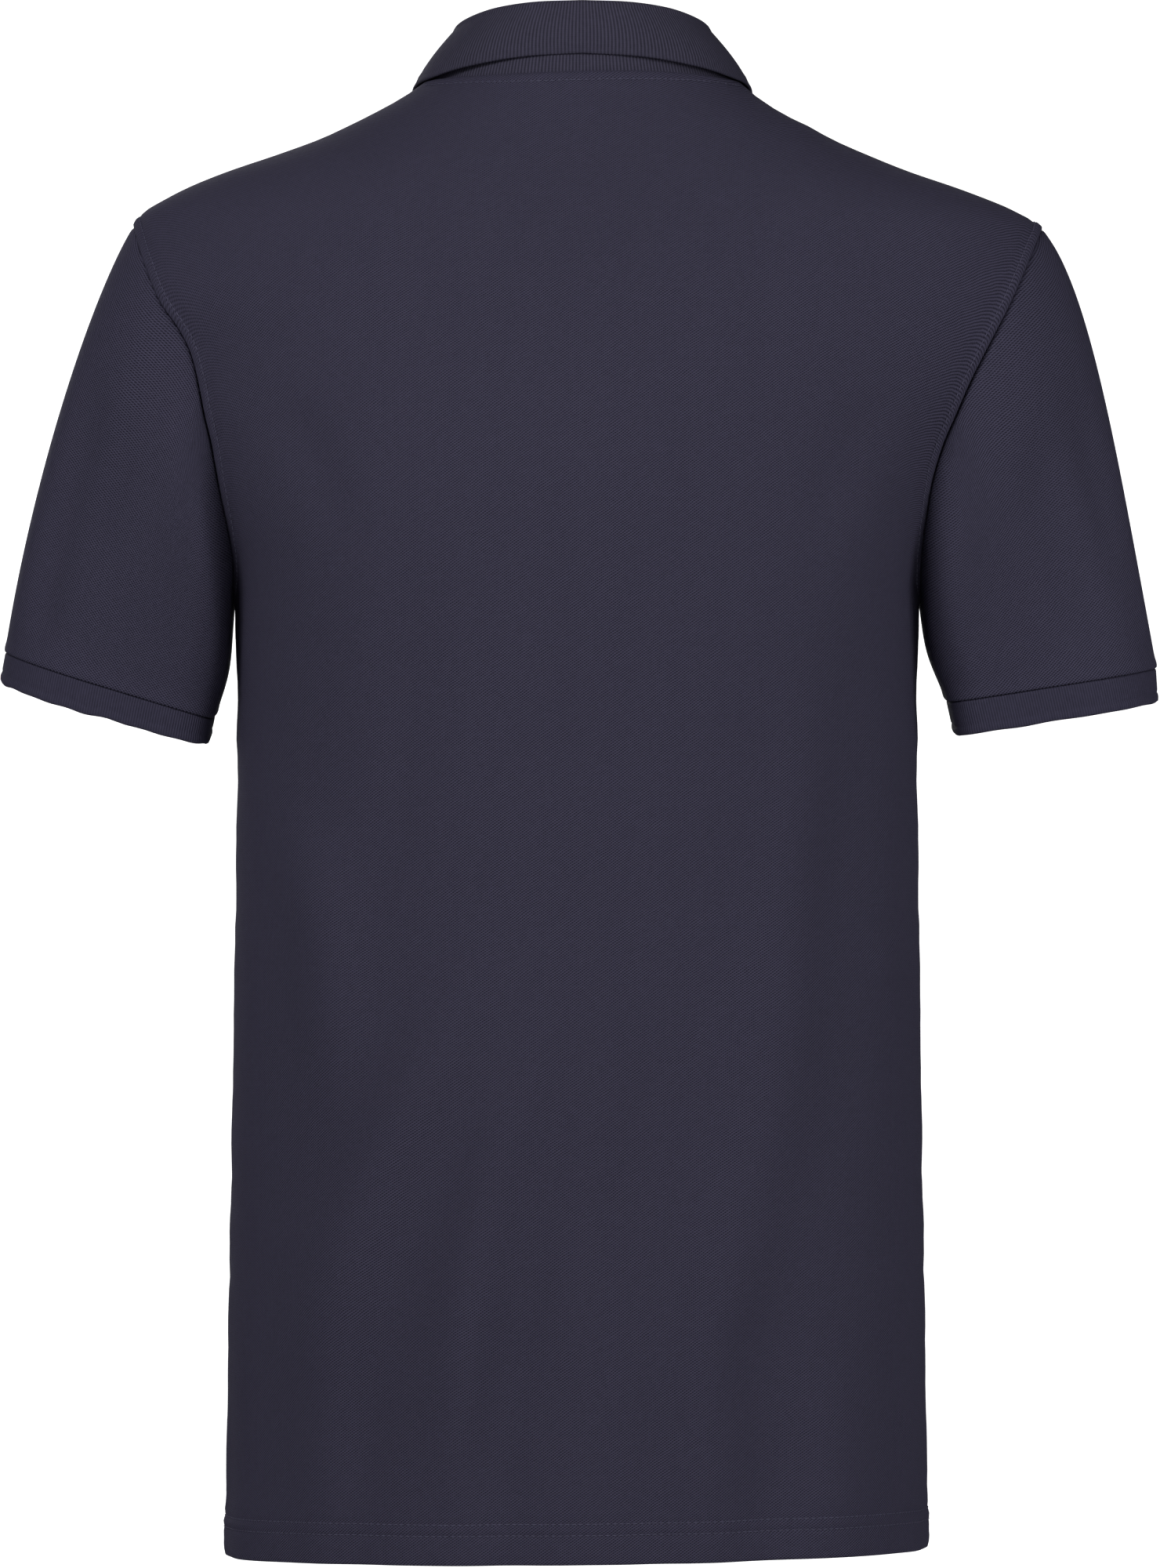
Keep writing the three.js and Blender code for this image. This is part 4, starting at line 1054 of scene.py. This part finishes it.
def place_on_front(z, lift):
    """A point over the top strip's face and the three directions there: across, up, out."""
    y = float(cloth_y(-1, 0, z))
    slope = (float(cloth_y(-1, 0, z + 5)) - float(cloth_y(-1, 0, z - 5))) / 10
    out = np.array([0, -1, slope])
    out /= np.linalg.norm(out)
    across = np.array([1.0, 0, 0])
    up = np.cross(out, across)
    return np.array([0, y, z]) + out * lift, across, up, out


def make_button(name, z):
    base, across, up, out = place_on_front(z, BUTTON_LIFT)
    vertices = []
    faces = []
    for r, h in BUTTON_OUTLINE:
        for k in range(BUTTON_STEPS):
            angle = 2 * math.pi * k / BUTTON_STEPS
            vertices.append(base + out * h + r * (across * math.cos(angle) + up * math.sin(angle)))
    for i in range(len(BUTTON_OUTLINE) - 1):
        a, b = i * BUTTON_STEPS, (i + 1) * BUTTON_STEPS
        for k in range(BUTTON_STEPS):
            n = (k + 1) % BUTTON_STEPS
            faces.append((a + k, b + k, b + n, a + n))
    return smooth_mesh(name, hang(np.array(vertices)), faces)


def tube(name, lines, radius, sides=8):
    """Round threads along lines of points."""
    vertices = []
    faces = []
    for line in lines:
        line = np.asarray(line, float)
        tangent = np.gradient(line, axis=0)
        tangent /= np.linalg.norm(tangent, axis=1, keepdims=True)
        side = np.cross(tangent, (0.31, 0.9, 0.29))
        side /= np.linalg.norm(side, axis=1, keepdims=True)
        other = np.cross(tangent, side)
        first = len(vertices)
        for k in range(len(line)):
            for s in range(sides):
                a = 2 * math.pi * s / sides
                vertices.append(line[k] + radius * (side[k] * math.cos(a) + other[k] * math.sin(a)))
        for k in range(len(line) - 1):
            for s in range(sides):
                n = (s + 1) % sides
                a, b = first + k * sides, first + (k + 1) * sides
                faces.append((a + s, a + n, b + n, b + s))
        faces.append(tuple(first + s for s in reversed(range(sides))))
        faces.append(tuple(first + (len(line) - 1) * sides + s for s in range(sides)))
    return smooth_mesh(name, vertices, faces)


buttons = []
thread_paths = []
hole_shade_paths = []
buttonholes = []
for number, z in enumerate(BUTTON_HEIGHTS, 1):
    buttons.append(make_button(f"turned_button_{number}", z))
    base, across, up, out = place_on_front(z, BUTTON_LIFT)
    for a in (-HOLE_OFF, HOLE_OFF):
        ends = [base + across * a + up * b + out * HOLE_HEIGHT for b in (-HOLE_OFF, HOLE_OFF)]
        path = []
        for t in np.linspace(0, 1, 9):
            path.append(mix(ends[0], ends[1], t) + out * THREAD_ARCH * math.sin(math.pi * t))
        thread_paths.append(hang(np.array(path)))
        for end in ends:
            # a near-black disc of painted shade where each hole is
            hole_shade_paths.append(hang(np.array([end - out * HOLE_DEPTH, end + out * 0.02])))
    base, across, up, out = place_on_front(z, CORD_LIFT)
    half_across, half_up = BUTTONHOLE_HALF
    ring = []
    for angle in 2 * math.pi * np.linspace(0, 1, 61):
        rise = half_up * math.cos(angle) - BUTTONHOLE_DROP
        ring.append(base + across * half_across * math.sin(angle) + up * rise)
    buttonholes.append(hang(np.array(ring)))
button_thread = tube("button_thread", thread_paths, THREAD_RADIUS)
button_hole_shade = tube("button_hole_shade", hole_shade_paths, HOLE_RADIUS, 16)
buttonhole_cord = tube("buttonhole_cord", buttonholes, CORD_RADIUS)
print("buttons:", len(buttons))

# %% [markdown]
# ## Knits as shader groups
# The shirt has two knits: pique, with rows of small hollows, and flat rib, with upright ribs. Modelled
# stitches would need millions of faces, and a picture of cloth would be one size only. So each knit is a
# group of nodes that works on the UV map, in metres of cloth, and a knitted cell has its real size. Each
# gives a height for the bump, and a mask of its cells that paints shade into the colour of its hollows and
# light onto its raised loops.


# %% Node tools
def add_node(tree, kind, inputs=None, **settings):
    """A node with its settings, and with a value or a link for each of the inputs named."""
    node = tree.nodes.new(kind)
    for name, value in settings.items():
        setattr(node, name, value)
    for key, value in (inputs or {}).items():
        if isinstance(value, bpy.types.NodeSocket):
            tree.links.new(value, node.inputs[key])
        else:
            node.inputs[key].default_value = value
    return node


def reckon(tree, operation, a, b=0.0, c=0.0, clamp=False):
    """The result of one sum on one, two or three values."""
    inputs = {0: a, 1: b, 2: c}
    return add_node(tree, "ShaderNodeMath", inputs, operation=operation, use_clamp=clamp).outputs[0]


def ramp_between(tree, value, low, high, at_low, at_high):
    """A soft change from one value to another."""
    inputs = {"Value": value, "From Min": low, "From Max": high, "To Min": at_low, "To Max": at_high}
    ramp = add_node(tree, "ShaderNodeMapRange", inputs, interpolation_type="SMOOTHSTEP")
    return ramp.outputs["Result"]


def noise_at(tree, place, **sizes):
    """Soft noise from -0.5 to 0.5."""
    noise = add_node(tree, "ShaderNodeTexNoise", {"Vector": place, **sizes})
    return reckon(tree, "SUBTRACT", noise.outputs["Fac"], 0.5)


def parts_of(tree, vector):
    return add_node(tree, "ShaderNodeSeparateXYZ", {0: vector}).outputs


def group(name, inputs, outputs):
    tree = bpy.data.node_groups.new(name, "ShaderNodeTree")
    for label, kind, value in inputs:
        tree.interface.new_socket(label, in_out="INPUT", socket_type=kind).default_value = value
    for label, kind in outputs:
        tree.interface.new_socket(label, in_out="OUTPUT", socket_type=kind)
    return tree, tree.nodes.new("NodeGroupInput").outputs, tree.nodes.new("NodeGroupOutput").inputs


# %% The two knits
YARN_DRIFT = 0.0009
TWILL_SHARE = 0.3
RIB_COURSE = 0.0009
COURSE_SHARE = 0.12
EDGE_HEIGHT = 0.004
EDGE_CALM = 0.35
KNIT_OUTPUTS = [("Cells", "NodeSocketFloat"), ("Height", "NodeSocketFloat")]


def pique_group():
    """Rows of small hollows, each row half a stitch across from the next. Their mask paints shade into
    them.
    """
    tree, given, result = group(
        "pique_knit",
        [("Across", "NodeSocketFloat", 0.00188), ("Up", "NodeSocketFloat", 0.00135)],
        KNIT_OUTPUTS,
    )
    uv = add_node(tree, "ShaderNodeUVMap", uv_map="cloth").outputs[0]
    u, v, _ = parts_of(tree, uv)
    drift = reckon(tree, "MULTIPLY", noise_at(tree, uv, Scale=90), YARN_DRIFT)
    columns = reckon(tree, "DIVIDE", reckon(tree, "ADD", u, drift), given["Across"])
    courses = reckon(tree, "DIVIDE", reckon(tree, "SUBTRACT", v, drift), given["Up"])
    a = reckon(tree, "MULTIPLY", columns, 2 * math.pi)
    b = reckon(tree, "MULTIPLY", courses, 2 * math.pi)
    hollows = reckon(tree, "MULTIPLY", reckon(tree, "COSINE", a), reckon(tree, "COSINE", b))
    twill = reckon(tree, "COSINE", reckon(tree, "SUBTRACT", a, b))
    total = reckon(tree, "ADD", hollows, reckon(tree, "MULTIPLY", twill, TWILL_SHARE))
    # one mask for the bump height and for painted shade in the hollows' colour
    cells = ramp_between(tree, total, -0.5, 1.2, 1, 0)
    for output in ("Cells", "Height"):
        tree.links.new(cells, result[output])
    return tree


def rib_group():
    """Upright ribs with fine courses across them, calmer along the finished edge. Its mask paints shade
    between the ribs.
    """
    tree, given, result = group("flat_rib", [("Pitch", "NodeSocketFloat", 0.0018)], KNIT_OUTPUTS)
    u, v, _ = parts_of(tree, add_node(tree, "ShaderNodeUVMap", uv_map="cloth").outputs[0])
    turns = reckon(tree, "DIVIDE", u, given["Pitch"])
    ribs = reckon(tree, "COSINE", reckon(tree, "MULTIPLY", turns, 2 * math.pi))
    courses = reckon(tree, "SINE", reckon(tree, "MULTIPLY", v, 2 * math.pi / RIB_COURSE))
    both = reckon(tree, "ADD", ribs, reckon(tree, "MULTIPLY", courses, COURSE_SHARE))
    edge = reckon(tree, "SUBTRACT", 1.0, reckon(tree, "DIVIDE", v, EDGE_HEIGHT), clamp=True)
    calm = reckon(tree, "SUBTRACT", 1.0, reckon(tree, "MULTIPLY", edge, EDGE_CALM))
    height = reckon(tree, "MULTIPLY", both, calm)
    # Cells follows the height: painted shade in the grooves, painted light on the ribs
    tree.links.new(reckon(tree, "MULTIPLY_ADD", height, 0.5, 0.5), result["Cells"])
    tree.links.new(height, result["Height"])
    return tree


PIQUE_GROUP = pique_group()
RIB_GROUP = rib_group()
print("knits:", PIQUE_GROUP.name, RIB_GROUP.name)

# %% [markdown]
# ## Uneven dyeing and painted knit shade
# Dyed cotton is never one flat colour: it is a little cloudy, and each yarn takes its own tone. All the
# cloth and the thread share this group. It takes the colour and the knit's cells. Two noises on Object
# coordinates darken or lighten the colour at random, and the cells paint shade into the knit's hollows and
# light onto its raised loops.

# %% Dyeing and painted knit shade
CLOUDS = {"Scale": 7, "Detail": 3}
CLOUD_DEPTH = 0.16
YARNS = {"Scale": 420}
YARN_DEPTH = 0.3


def dye_and_knit_shade_group():
    tree, given, result = group(
        "dye_and_knit_shade",
        [
            ("Colour", "NodeSocketColor", (0.03, 0.03, 0.05, 1)),
            ("Cells", "NodeSocketFloat", 0.5),
            ("Depth", "NodeSocketFloat", 0.4),
        ],
        [("Colour", "NodeSocketColor")],
    )
    place = tree.nodes.new("ShaderNodeTexCoord").outputs["Object"]
    clouds = reckon(tree, "MULTIPLY", noise_at(tree, place, **CLOUDS), CLOUD_DEPTH)
    yarns = reckon(tree, "MULTIPLY", noise_at(tree, place, **YARNS), YARN_DEPTH)
    # painted shade in the knit's hollows and painted light on its raised loops, as strong as Depth
    from_middle = reckon(tree, "SUBTRACT", given["Cells"], 0.5)
    knit = reckon(tree, "MULTIPLY", from_middle, given["Depth"])
    total = reckon(tree, "ADD", reckon(tree, "ADD", clouds, yarns), knit)
    gain = reckon(tree, "ADD", total, 1.0)
    shade = add_node(tree, "ShaderNodeVectorMath", operation="SCALE")
    tree.links.new(given["Colour"], shade.inputs[0])
    tree.links.new(gain, shade.inputs["Scale"])
    tree.links.new(shade.outputs[0], result["Colour"])
    return tree


DYE_AND_KNIT_SHADE_GROUP = dye_and_knit_shade_group()
print("dye:", DYE_AND_KNIT_SHADE_GROUP.name)

# %% [markdown]
# ## Materials
# Cotton is matt, so it has hardly any shine. Its fine shading comes from the bump of the knit, and from
# painted shade and light that the knit's cells put into the colour. The ribs of the collar are wider than
# those of the bands. The buttons are satin plastic, and dark discs of painted shade stand in their holes.

# %% Materials
CLOTH_ROUGHNESS = 0.88
CLOTH_SHINE = 0.02


def linear(r, g, b):
    """A colour given as 0 to 255 on screen, as Blender counts it."""
    values = [c / 255 for c in (r, g, b)]
    return (*[c / 12.92 if c <= 0.04045 else ((c + 0.055) / 1.055) ** 2.4 for c in values], 1)


def new_material(name):
    material = bpy.data.materials.new(name)
    material.use_nodes = True
    return material, material.node_tree, material.node_tree.nodes["Principled BSDF"].inputs


def fabric(name, colour, depth, knit=None, bump=0.0, pitch=None):
    material, tree, shader = new_material(name)
    shader["Roughness"].default_value = CLOTH_ROUGHNESS
    shader["Specular IOR Level"].default_value = CLOTH_SHINE
    # Depth sets how strongly the knit's cells paint shade and light into the colour
    dye_and_knit_shade = add_node(tree, "ShaderNodeGroup", {"Colour": colour, "Depth": depth}, node_tree=DYE_AND_KNIT_SHADE_GROUP)
    tree.links.new(dye_and_knit_shade.outputs["Colour"], shader["Base Color"])
    if knit:
        sizes = {"Pitch": pitch} if pitch else {}
        cells = add_node(tree, "ShaderNodeGroup", sizes, node_tree=knit).outputs
        tree.links.new(cells["Cells"], dye_and_knit_shade.inputs["Cells"])
        height = {"Strength": 1.0, "Distance": bump, "Height": cells["Height"]}
        relief = add_node(tree, "ShaderNodeBump", height)
        tree.links.new(relief.outputs["Normal"], shader["Normal"])
    return material


def plain(name, colour, roughness, coat=0.0):
    """One colour with a faint mottle."""
    material, tree, shader = new_material(name)
    shader["Roughness"].default_value = roughness
    shader["Coat Weight"].default_value = coat
    place = tree.nodes.new("ShaderNodeTexCoord").outputs["Object"]
    noise = add_node(tree, "ShaderNodeTexNoise", {"Vector": place, "Scale": 180})
    ramp = add_node(tree, "ShaderNodeValToRGB", {"Fac": noise.outputs["Fac"]})
    for element, gain in zip(ramp.color_ramp.elements, (0.85, 1.15)):
        element.color = tuple(min(1, c * gain) for c in colour[:3]) + (1,)
    tree.links.new(ramp.outputs["Color"], shader["Base Color"])
    return material


pique = fabric("pique", linear(54, 52, 67), 1.1, PIQUE_GROUP, 0.0002)
collar_rib = fabric("collar_rib", linear(58, 56, 70), 0.75, RIB_GROUP, 0.00012, 0.00176)
cuff_rib = fabric("cuff_rib", linear(57, 55, 71), 0.45, RIB_GROUP, 0.00012, 0.0013)
thread = fabric("thread", linear(80, 78, 96), 0.3)
button_plastic = plain("button_plastic", linear(48, 47, 58), 0.32, 0.3)
# near-black colour: painted shade in the buttons' holes
painted_hole_shade = plain("painted_hole_shade", linear(16, 16, 20), 0.9)
finishes = (
    (pique, (back, front, *sleeves.values(), placket_top, placket_under)),
    (collar_rib, (collar,)),
    (cuff_rib, cuffs.values()),
    (button_plastic, buttons),
    (painted_hole_shade, (button_hole_shade,)),
    (thread, (button_thread, buttonhole_cord)),
)
for material, pieces in finishes:
    for piece in pieces:
        piece.data.materials.append(material)
print("materials:", [material.name for material, _ in finishes])

# %% [markdown]
# ## Stitches
# A sewn row is hundreds of short threads, all alike, along the line that the panels gave. Placed by hand
# they would not be even. So one small Geometry Nodes tree walks along the line in steps of one pitch, and
# sets a short rounded thread at each step, turned along the line. The result becomes a plain mesh.

# %% Stitch rows
STITCH_INPUTS = {
    "Geometry": "NodeSocketGeometry",
    "Pitch": "NodeSocketFloat",
    "Length": "NodeSocketFloat",
    "Thickness": "NodeSocketFloat",
    "Thread": "NodeSocketMaterial",
}


def stitch_tree():
    """The tree, and the identifier of each of its inputs."""
    tree = bpy.data.node_groups.new("stitch_row", "GeometryNodeTree")
    sockets = {}
    for name, kind in STITCH_INPUTS.items():
        sockets[name] = tree.interface.new_socket(name, in_out="INPUT", socket_type=kind).identifier
    tree.interface.new_socket("Geometry", in_out="OUTPUT", socket_type="NodeSocketGeometry")
    given = tree.nodes.new("NodeGroupInput").outputs
    curve = add_node(tree, "GeometryNodeMeshToCurve", {0: given["Geometry"]})
    steps = {"Curve": curve.outputs[0], "Length": given["Pitch"]}
    points = add_node(tree, "GeometryNodeCurveToPoints", steps, mode="LENGTH").outputs
    ball = add_node(tree, "GeometryNodeMeshUVSphere", {"Segments": 8, "Rings": 6, "Radius": 0.5})
    sizes = {"X": given["Thickness"], "Y": given["Thickness"], "Z": given["Length"]}
    size = add_node(tree, "ShaderNodeCombineXYZ", sizes)
    placed = add_node(
        tree,
        "GeometryNodeInstanceOnPoints",
        {
            "Points": points["Points"],
            "Rotation": points["Rotation"],
            "Instance": ball.outputs["Mesh"],
            "Scale": size.outputs[0],
        },
    )
    real = add_node(tree, "GeometryNodeRealizeInstances", {0: placed.outputs[0]})
    shade = add_node(tree, "GeometryNodeSetShadeSmooth", {0: real.outputs[0]})
    paint = {"Geometry": shade.outputs[0], "Material": given["Thread"]}
    painted = add_node(tree, "GeometryNodeSetMaterial", paint)
    tree.links.new(painted.outputs[0], tree.nodes.new("NodeGroupOutput").inputs[0])
    return tree, sockets


def sew(name, lines):
    """One piece made of rows of stitches along lines of points."""
    vertices = []
    edges = []
    for line in lines:
        first = len(vertices)
        vertices += (np.asarray(line) * MM).tolist()
        edges += [(first + k, first + k + 1) for k in range(len(line) - 1)]
    mesh = bpy.data.meshes.new(name + "_path")
    mesh.from_pydata(vertices, edges, [])
    path = bpy.data.objects.new(name + "_path", mesh)
    bpy.context.scene.collection.objects.link(path)
    modifier = path.modifiers.new("stitches", "NODES")
    modifier.node_group = STITCH_TREE
    for key, value in STITCH.items():
        modifier[STITCH_SOCKETS[key]] = value
    graph = bpy.context.evaluated_depsgraph_get()
    graph.update()
    sewn = bpy.data.meshes.new_from_object(path.evaluated_get(graph))
    sewn.name = name
    piece = bpy.data.objects.new(name, sewn)
    bpy.context.scene.collection.objects.link(piece)
    bpy.data.objects.remove(path)
    return piece


STITCH_TREE, STITCH_SOCKETS = stitch_tree()
STITCH = {"Pitch": 3.3 * MM, "Length": 2.5 * MM, "Thickness": 0.5 * MM, "Thread": thread}
seams = {
    "stitches_back_armholes": ["cloth_back_armhole_left", "cloth_back_armhole_right"],
    "stitches_front_armholes": ["cloth_front_armhole_left", "cloth_front_armhole_right"],
    "stitches_hem_back": ["cloth_back_hem_1", "cloth_back_hem_2"],
    "stitches_hem_front": ["cloth_front_hem_1", "cloth_front_hem_2"],
    "stitches_neck": ["cloth_back_neck"],
    "stitches_placket": ["placket"],
}
stitches = [sew(name, [stitch_lines[line] for line in lines]) for name, lines in seams.items()]
print("stitch faces:", {piece.name: len(piece.data.polygons) for piece in stitches})

# %% [markdown]
# ## What stands for what
# Every piece rides on the shirt's one body, and each cloth piece replaces its plain solid. The printed
# areas are those of the built cloth.

# %% Ride and replace
cloth = {
    "back": back,
    "front": front,
    **{f"sleeve_{side}": sleeves[side] for side in SIDES},
    "placket_top": placket_top,
    "placket_under": placket_under,
}
ribs = {"collar": collar, **{f"cuff_{side}": cuffs[side] for side in SIDES}}
turned = {f"button_{number}": piece for number, piece in enumerate(buttons, 1)}
slots = {
    "pique": (*cloth.values(), *stitches, button_thread, buttonhole_cord),
    "rib": tuple(ribs.values()),
    "button": (*buttons, button_hole_shade),
}
for slot, pieces in slots.items():
    for piece in pieces:
        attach(piece, "root")
for node, piece in {**cloth, **ribs, **turned}.items():
    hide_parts(node)
for piece in (*cloth.values(), *ribs.values()):
    area = sum(face.area for face in piece.data.polygons) / 2
    print(piece.name, "cloth in square metres:", round(area, 4))

# %% [markdown]
# ## Backdrop
# A studio shot stands on pale paper that sweeps up into a wall. In the photograph that wall is pure
# white behind the shirt. So the paper far behind it glows by itself, more in the middle than at the sides,
# where it would light the shirt's edges. It stands well away, so that the shirt can be seen from the front.

# %% Backdrop
FLOOR_Z = -1.9
FLOOR_NEAR_Y = 4
CURVE_Y = -13
CURVE_RADIUS = 2
WALL_TOP_Z = 7
PAPER_HALF = 8
GLOW = 0.95
GLOW_FULL_X = 2.4
GLOW_END_X = 5
GLOW_FROM_Y = -12
GLOW_WHOLE_Y = -13.1


def sweep():
    profile = [(FLOOR_NEAR_Y, FLOOR_Z), (CURVE_Y, FLOOR_Z)]
    for angle in math.pi / 2 * np.linspace(0, 1, 16)[1:]:
        rise = CURVE_RADIUS * (1 - math.cos(angle))
        profile.append((CURVE_Y - CURVE_RADIUS * math.sin(angle), FLOOR_Z + rise))
    profile.append((CURVE_Y - CURVE_RADIUS, WALL_TOP_Z))
    vertices = [(x / MM, y / MM, z / MM) for x in (-PAPER_HALF, PAPER_HALF) for y, z in profile]
    n = len(profile)
    faces = [(k, k + 1, n + k + 1, n + k) for k in range(n - 1)]
    return smooth_mesh("backdrop", vertices, faces)


backdrop = sweep()
paper, paper_tree, paper_shader = new_material("paper")
paper_shader["Base Color"].default_value = (0.9, 0.9, 0.9, 1)
paper_shader["Roughness"].default_value = 0.95
paper_shader["Emission Color"].default_value = (1, 1, 1, 1)
paper_x, paper_y, _ = parts_of(paper_tree, paper_tree.nodes.new("ShaderNodeTexCoord").outputs["Object"])
glow = ramp_between(paper_tree, reckon(paper_tree, "ABSOLUTE", paper_x), GLOW_FULL_X, GLOW_END_X, GLOW, 0)
on_wall = ramp_between(paper_tree, paper_y, GLOW_FROM_Y, GLOW_WHOLE_Y, 0, 1)
paper_tree.links.new(reckon(paper_tree, "MULTIPLY", glow, on_wall), paper_shader["Emission Strength"])
backdrop.data.materials.append(paper)
print("backdrop reaches back to y in metres:", CURVE_Y - CURVE_RADIUS)

# %% [markdown]
# ## Lights
# The photograph has hardly any shadows: soft light comes from all round the camera. The key light stands
# up to the left of the picture and brings out the creases. Weaker ones fill both sides and come from
# above, and one on the far side lights the front, which the photograph doesn't show. The world adds a
# faint even light.

# %% Lights
WORLD_LIGHT = 0.13
LIGHTS = {
    "key": ((1.15, 1.7, 1.0), (0.8, 0.8), 26),
    "fill_right": ((-1.75, 1.5, 0), (1.1, 1.3), 20),
    "fill_left": ((2.0, 1.4, -0.5), (1.1, 1.3), 5),
    "fill_above": ((-0.4, 2.3, 0.85), (1.2, 1.2), 9),
    "front": ((0.6, -2.5, 0.5), (1.6, 1.6), 41),
}
AIM = np.array([0, 0, -0.35])

world = bpy.data.worlds.new("studio")
world.use_nodes = True
world.node_tree.nodes["Background"].inputs["Color"].default_value = (1, 1, 1, 1)
world.node_tree.nodes["Background"].inputs["Strength"].default_value = WORLD_LIGHT
bpy.context.scene.world = world
for name, (place, size, power) in LIGHTS.items():
    data = bpy.data.lights.new(name, "AREA")
    data.shape = "RECTANGLE"
    data.size, data.size_y = size
    data.energy = power
    lamp = bpy.data.objects.new(name, data)
    lamp.location = place
    way = AIM - np.array(place)
    tilt = math.atan2(math.hypot(way[0], way[1]), -way[2])
    lamp.rotation_euler = (tilt, 0, math.atan2(way[0], -way[1]) + math.pi)
    bpy.context.scene.collection.objects.link(lamp)
bpy.context.scene.view_settings.view_transform = "Standard"
print("lights:", list(LIGHTS))
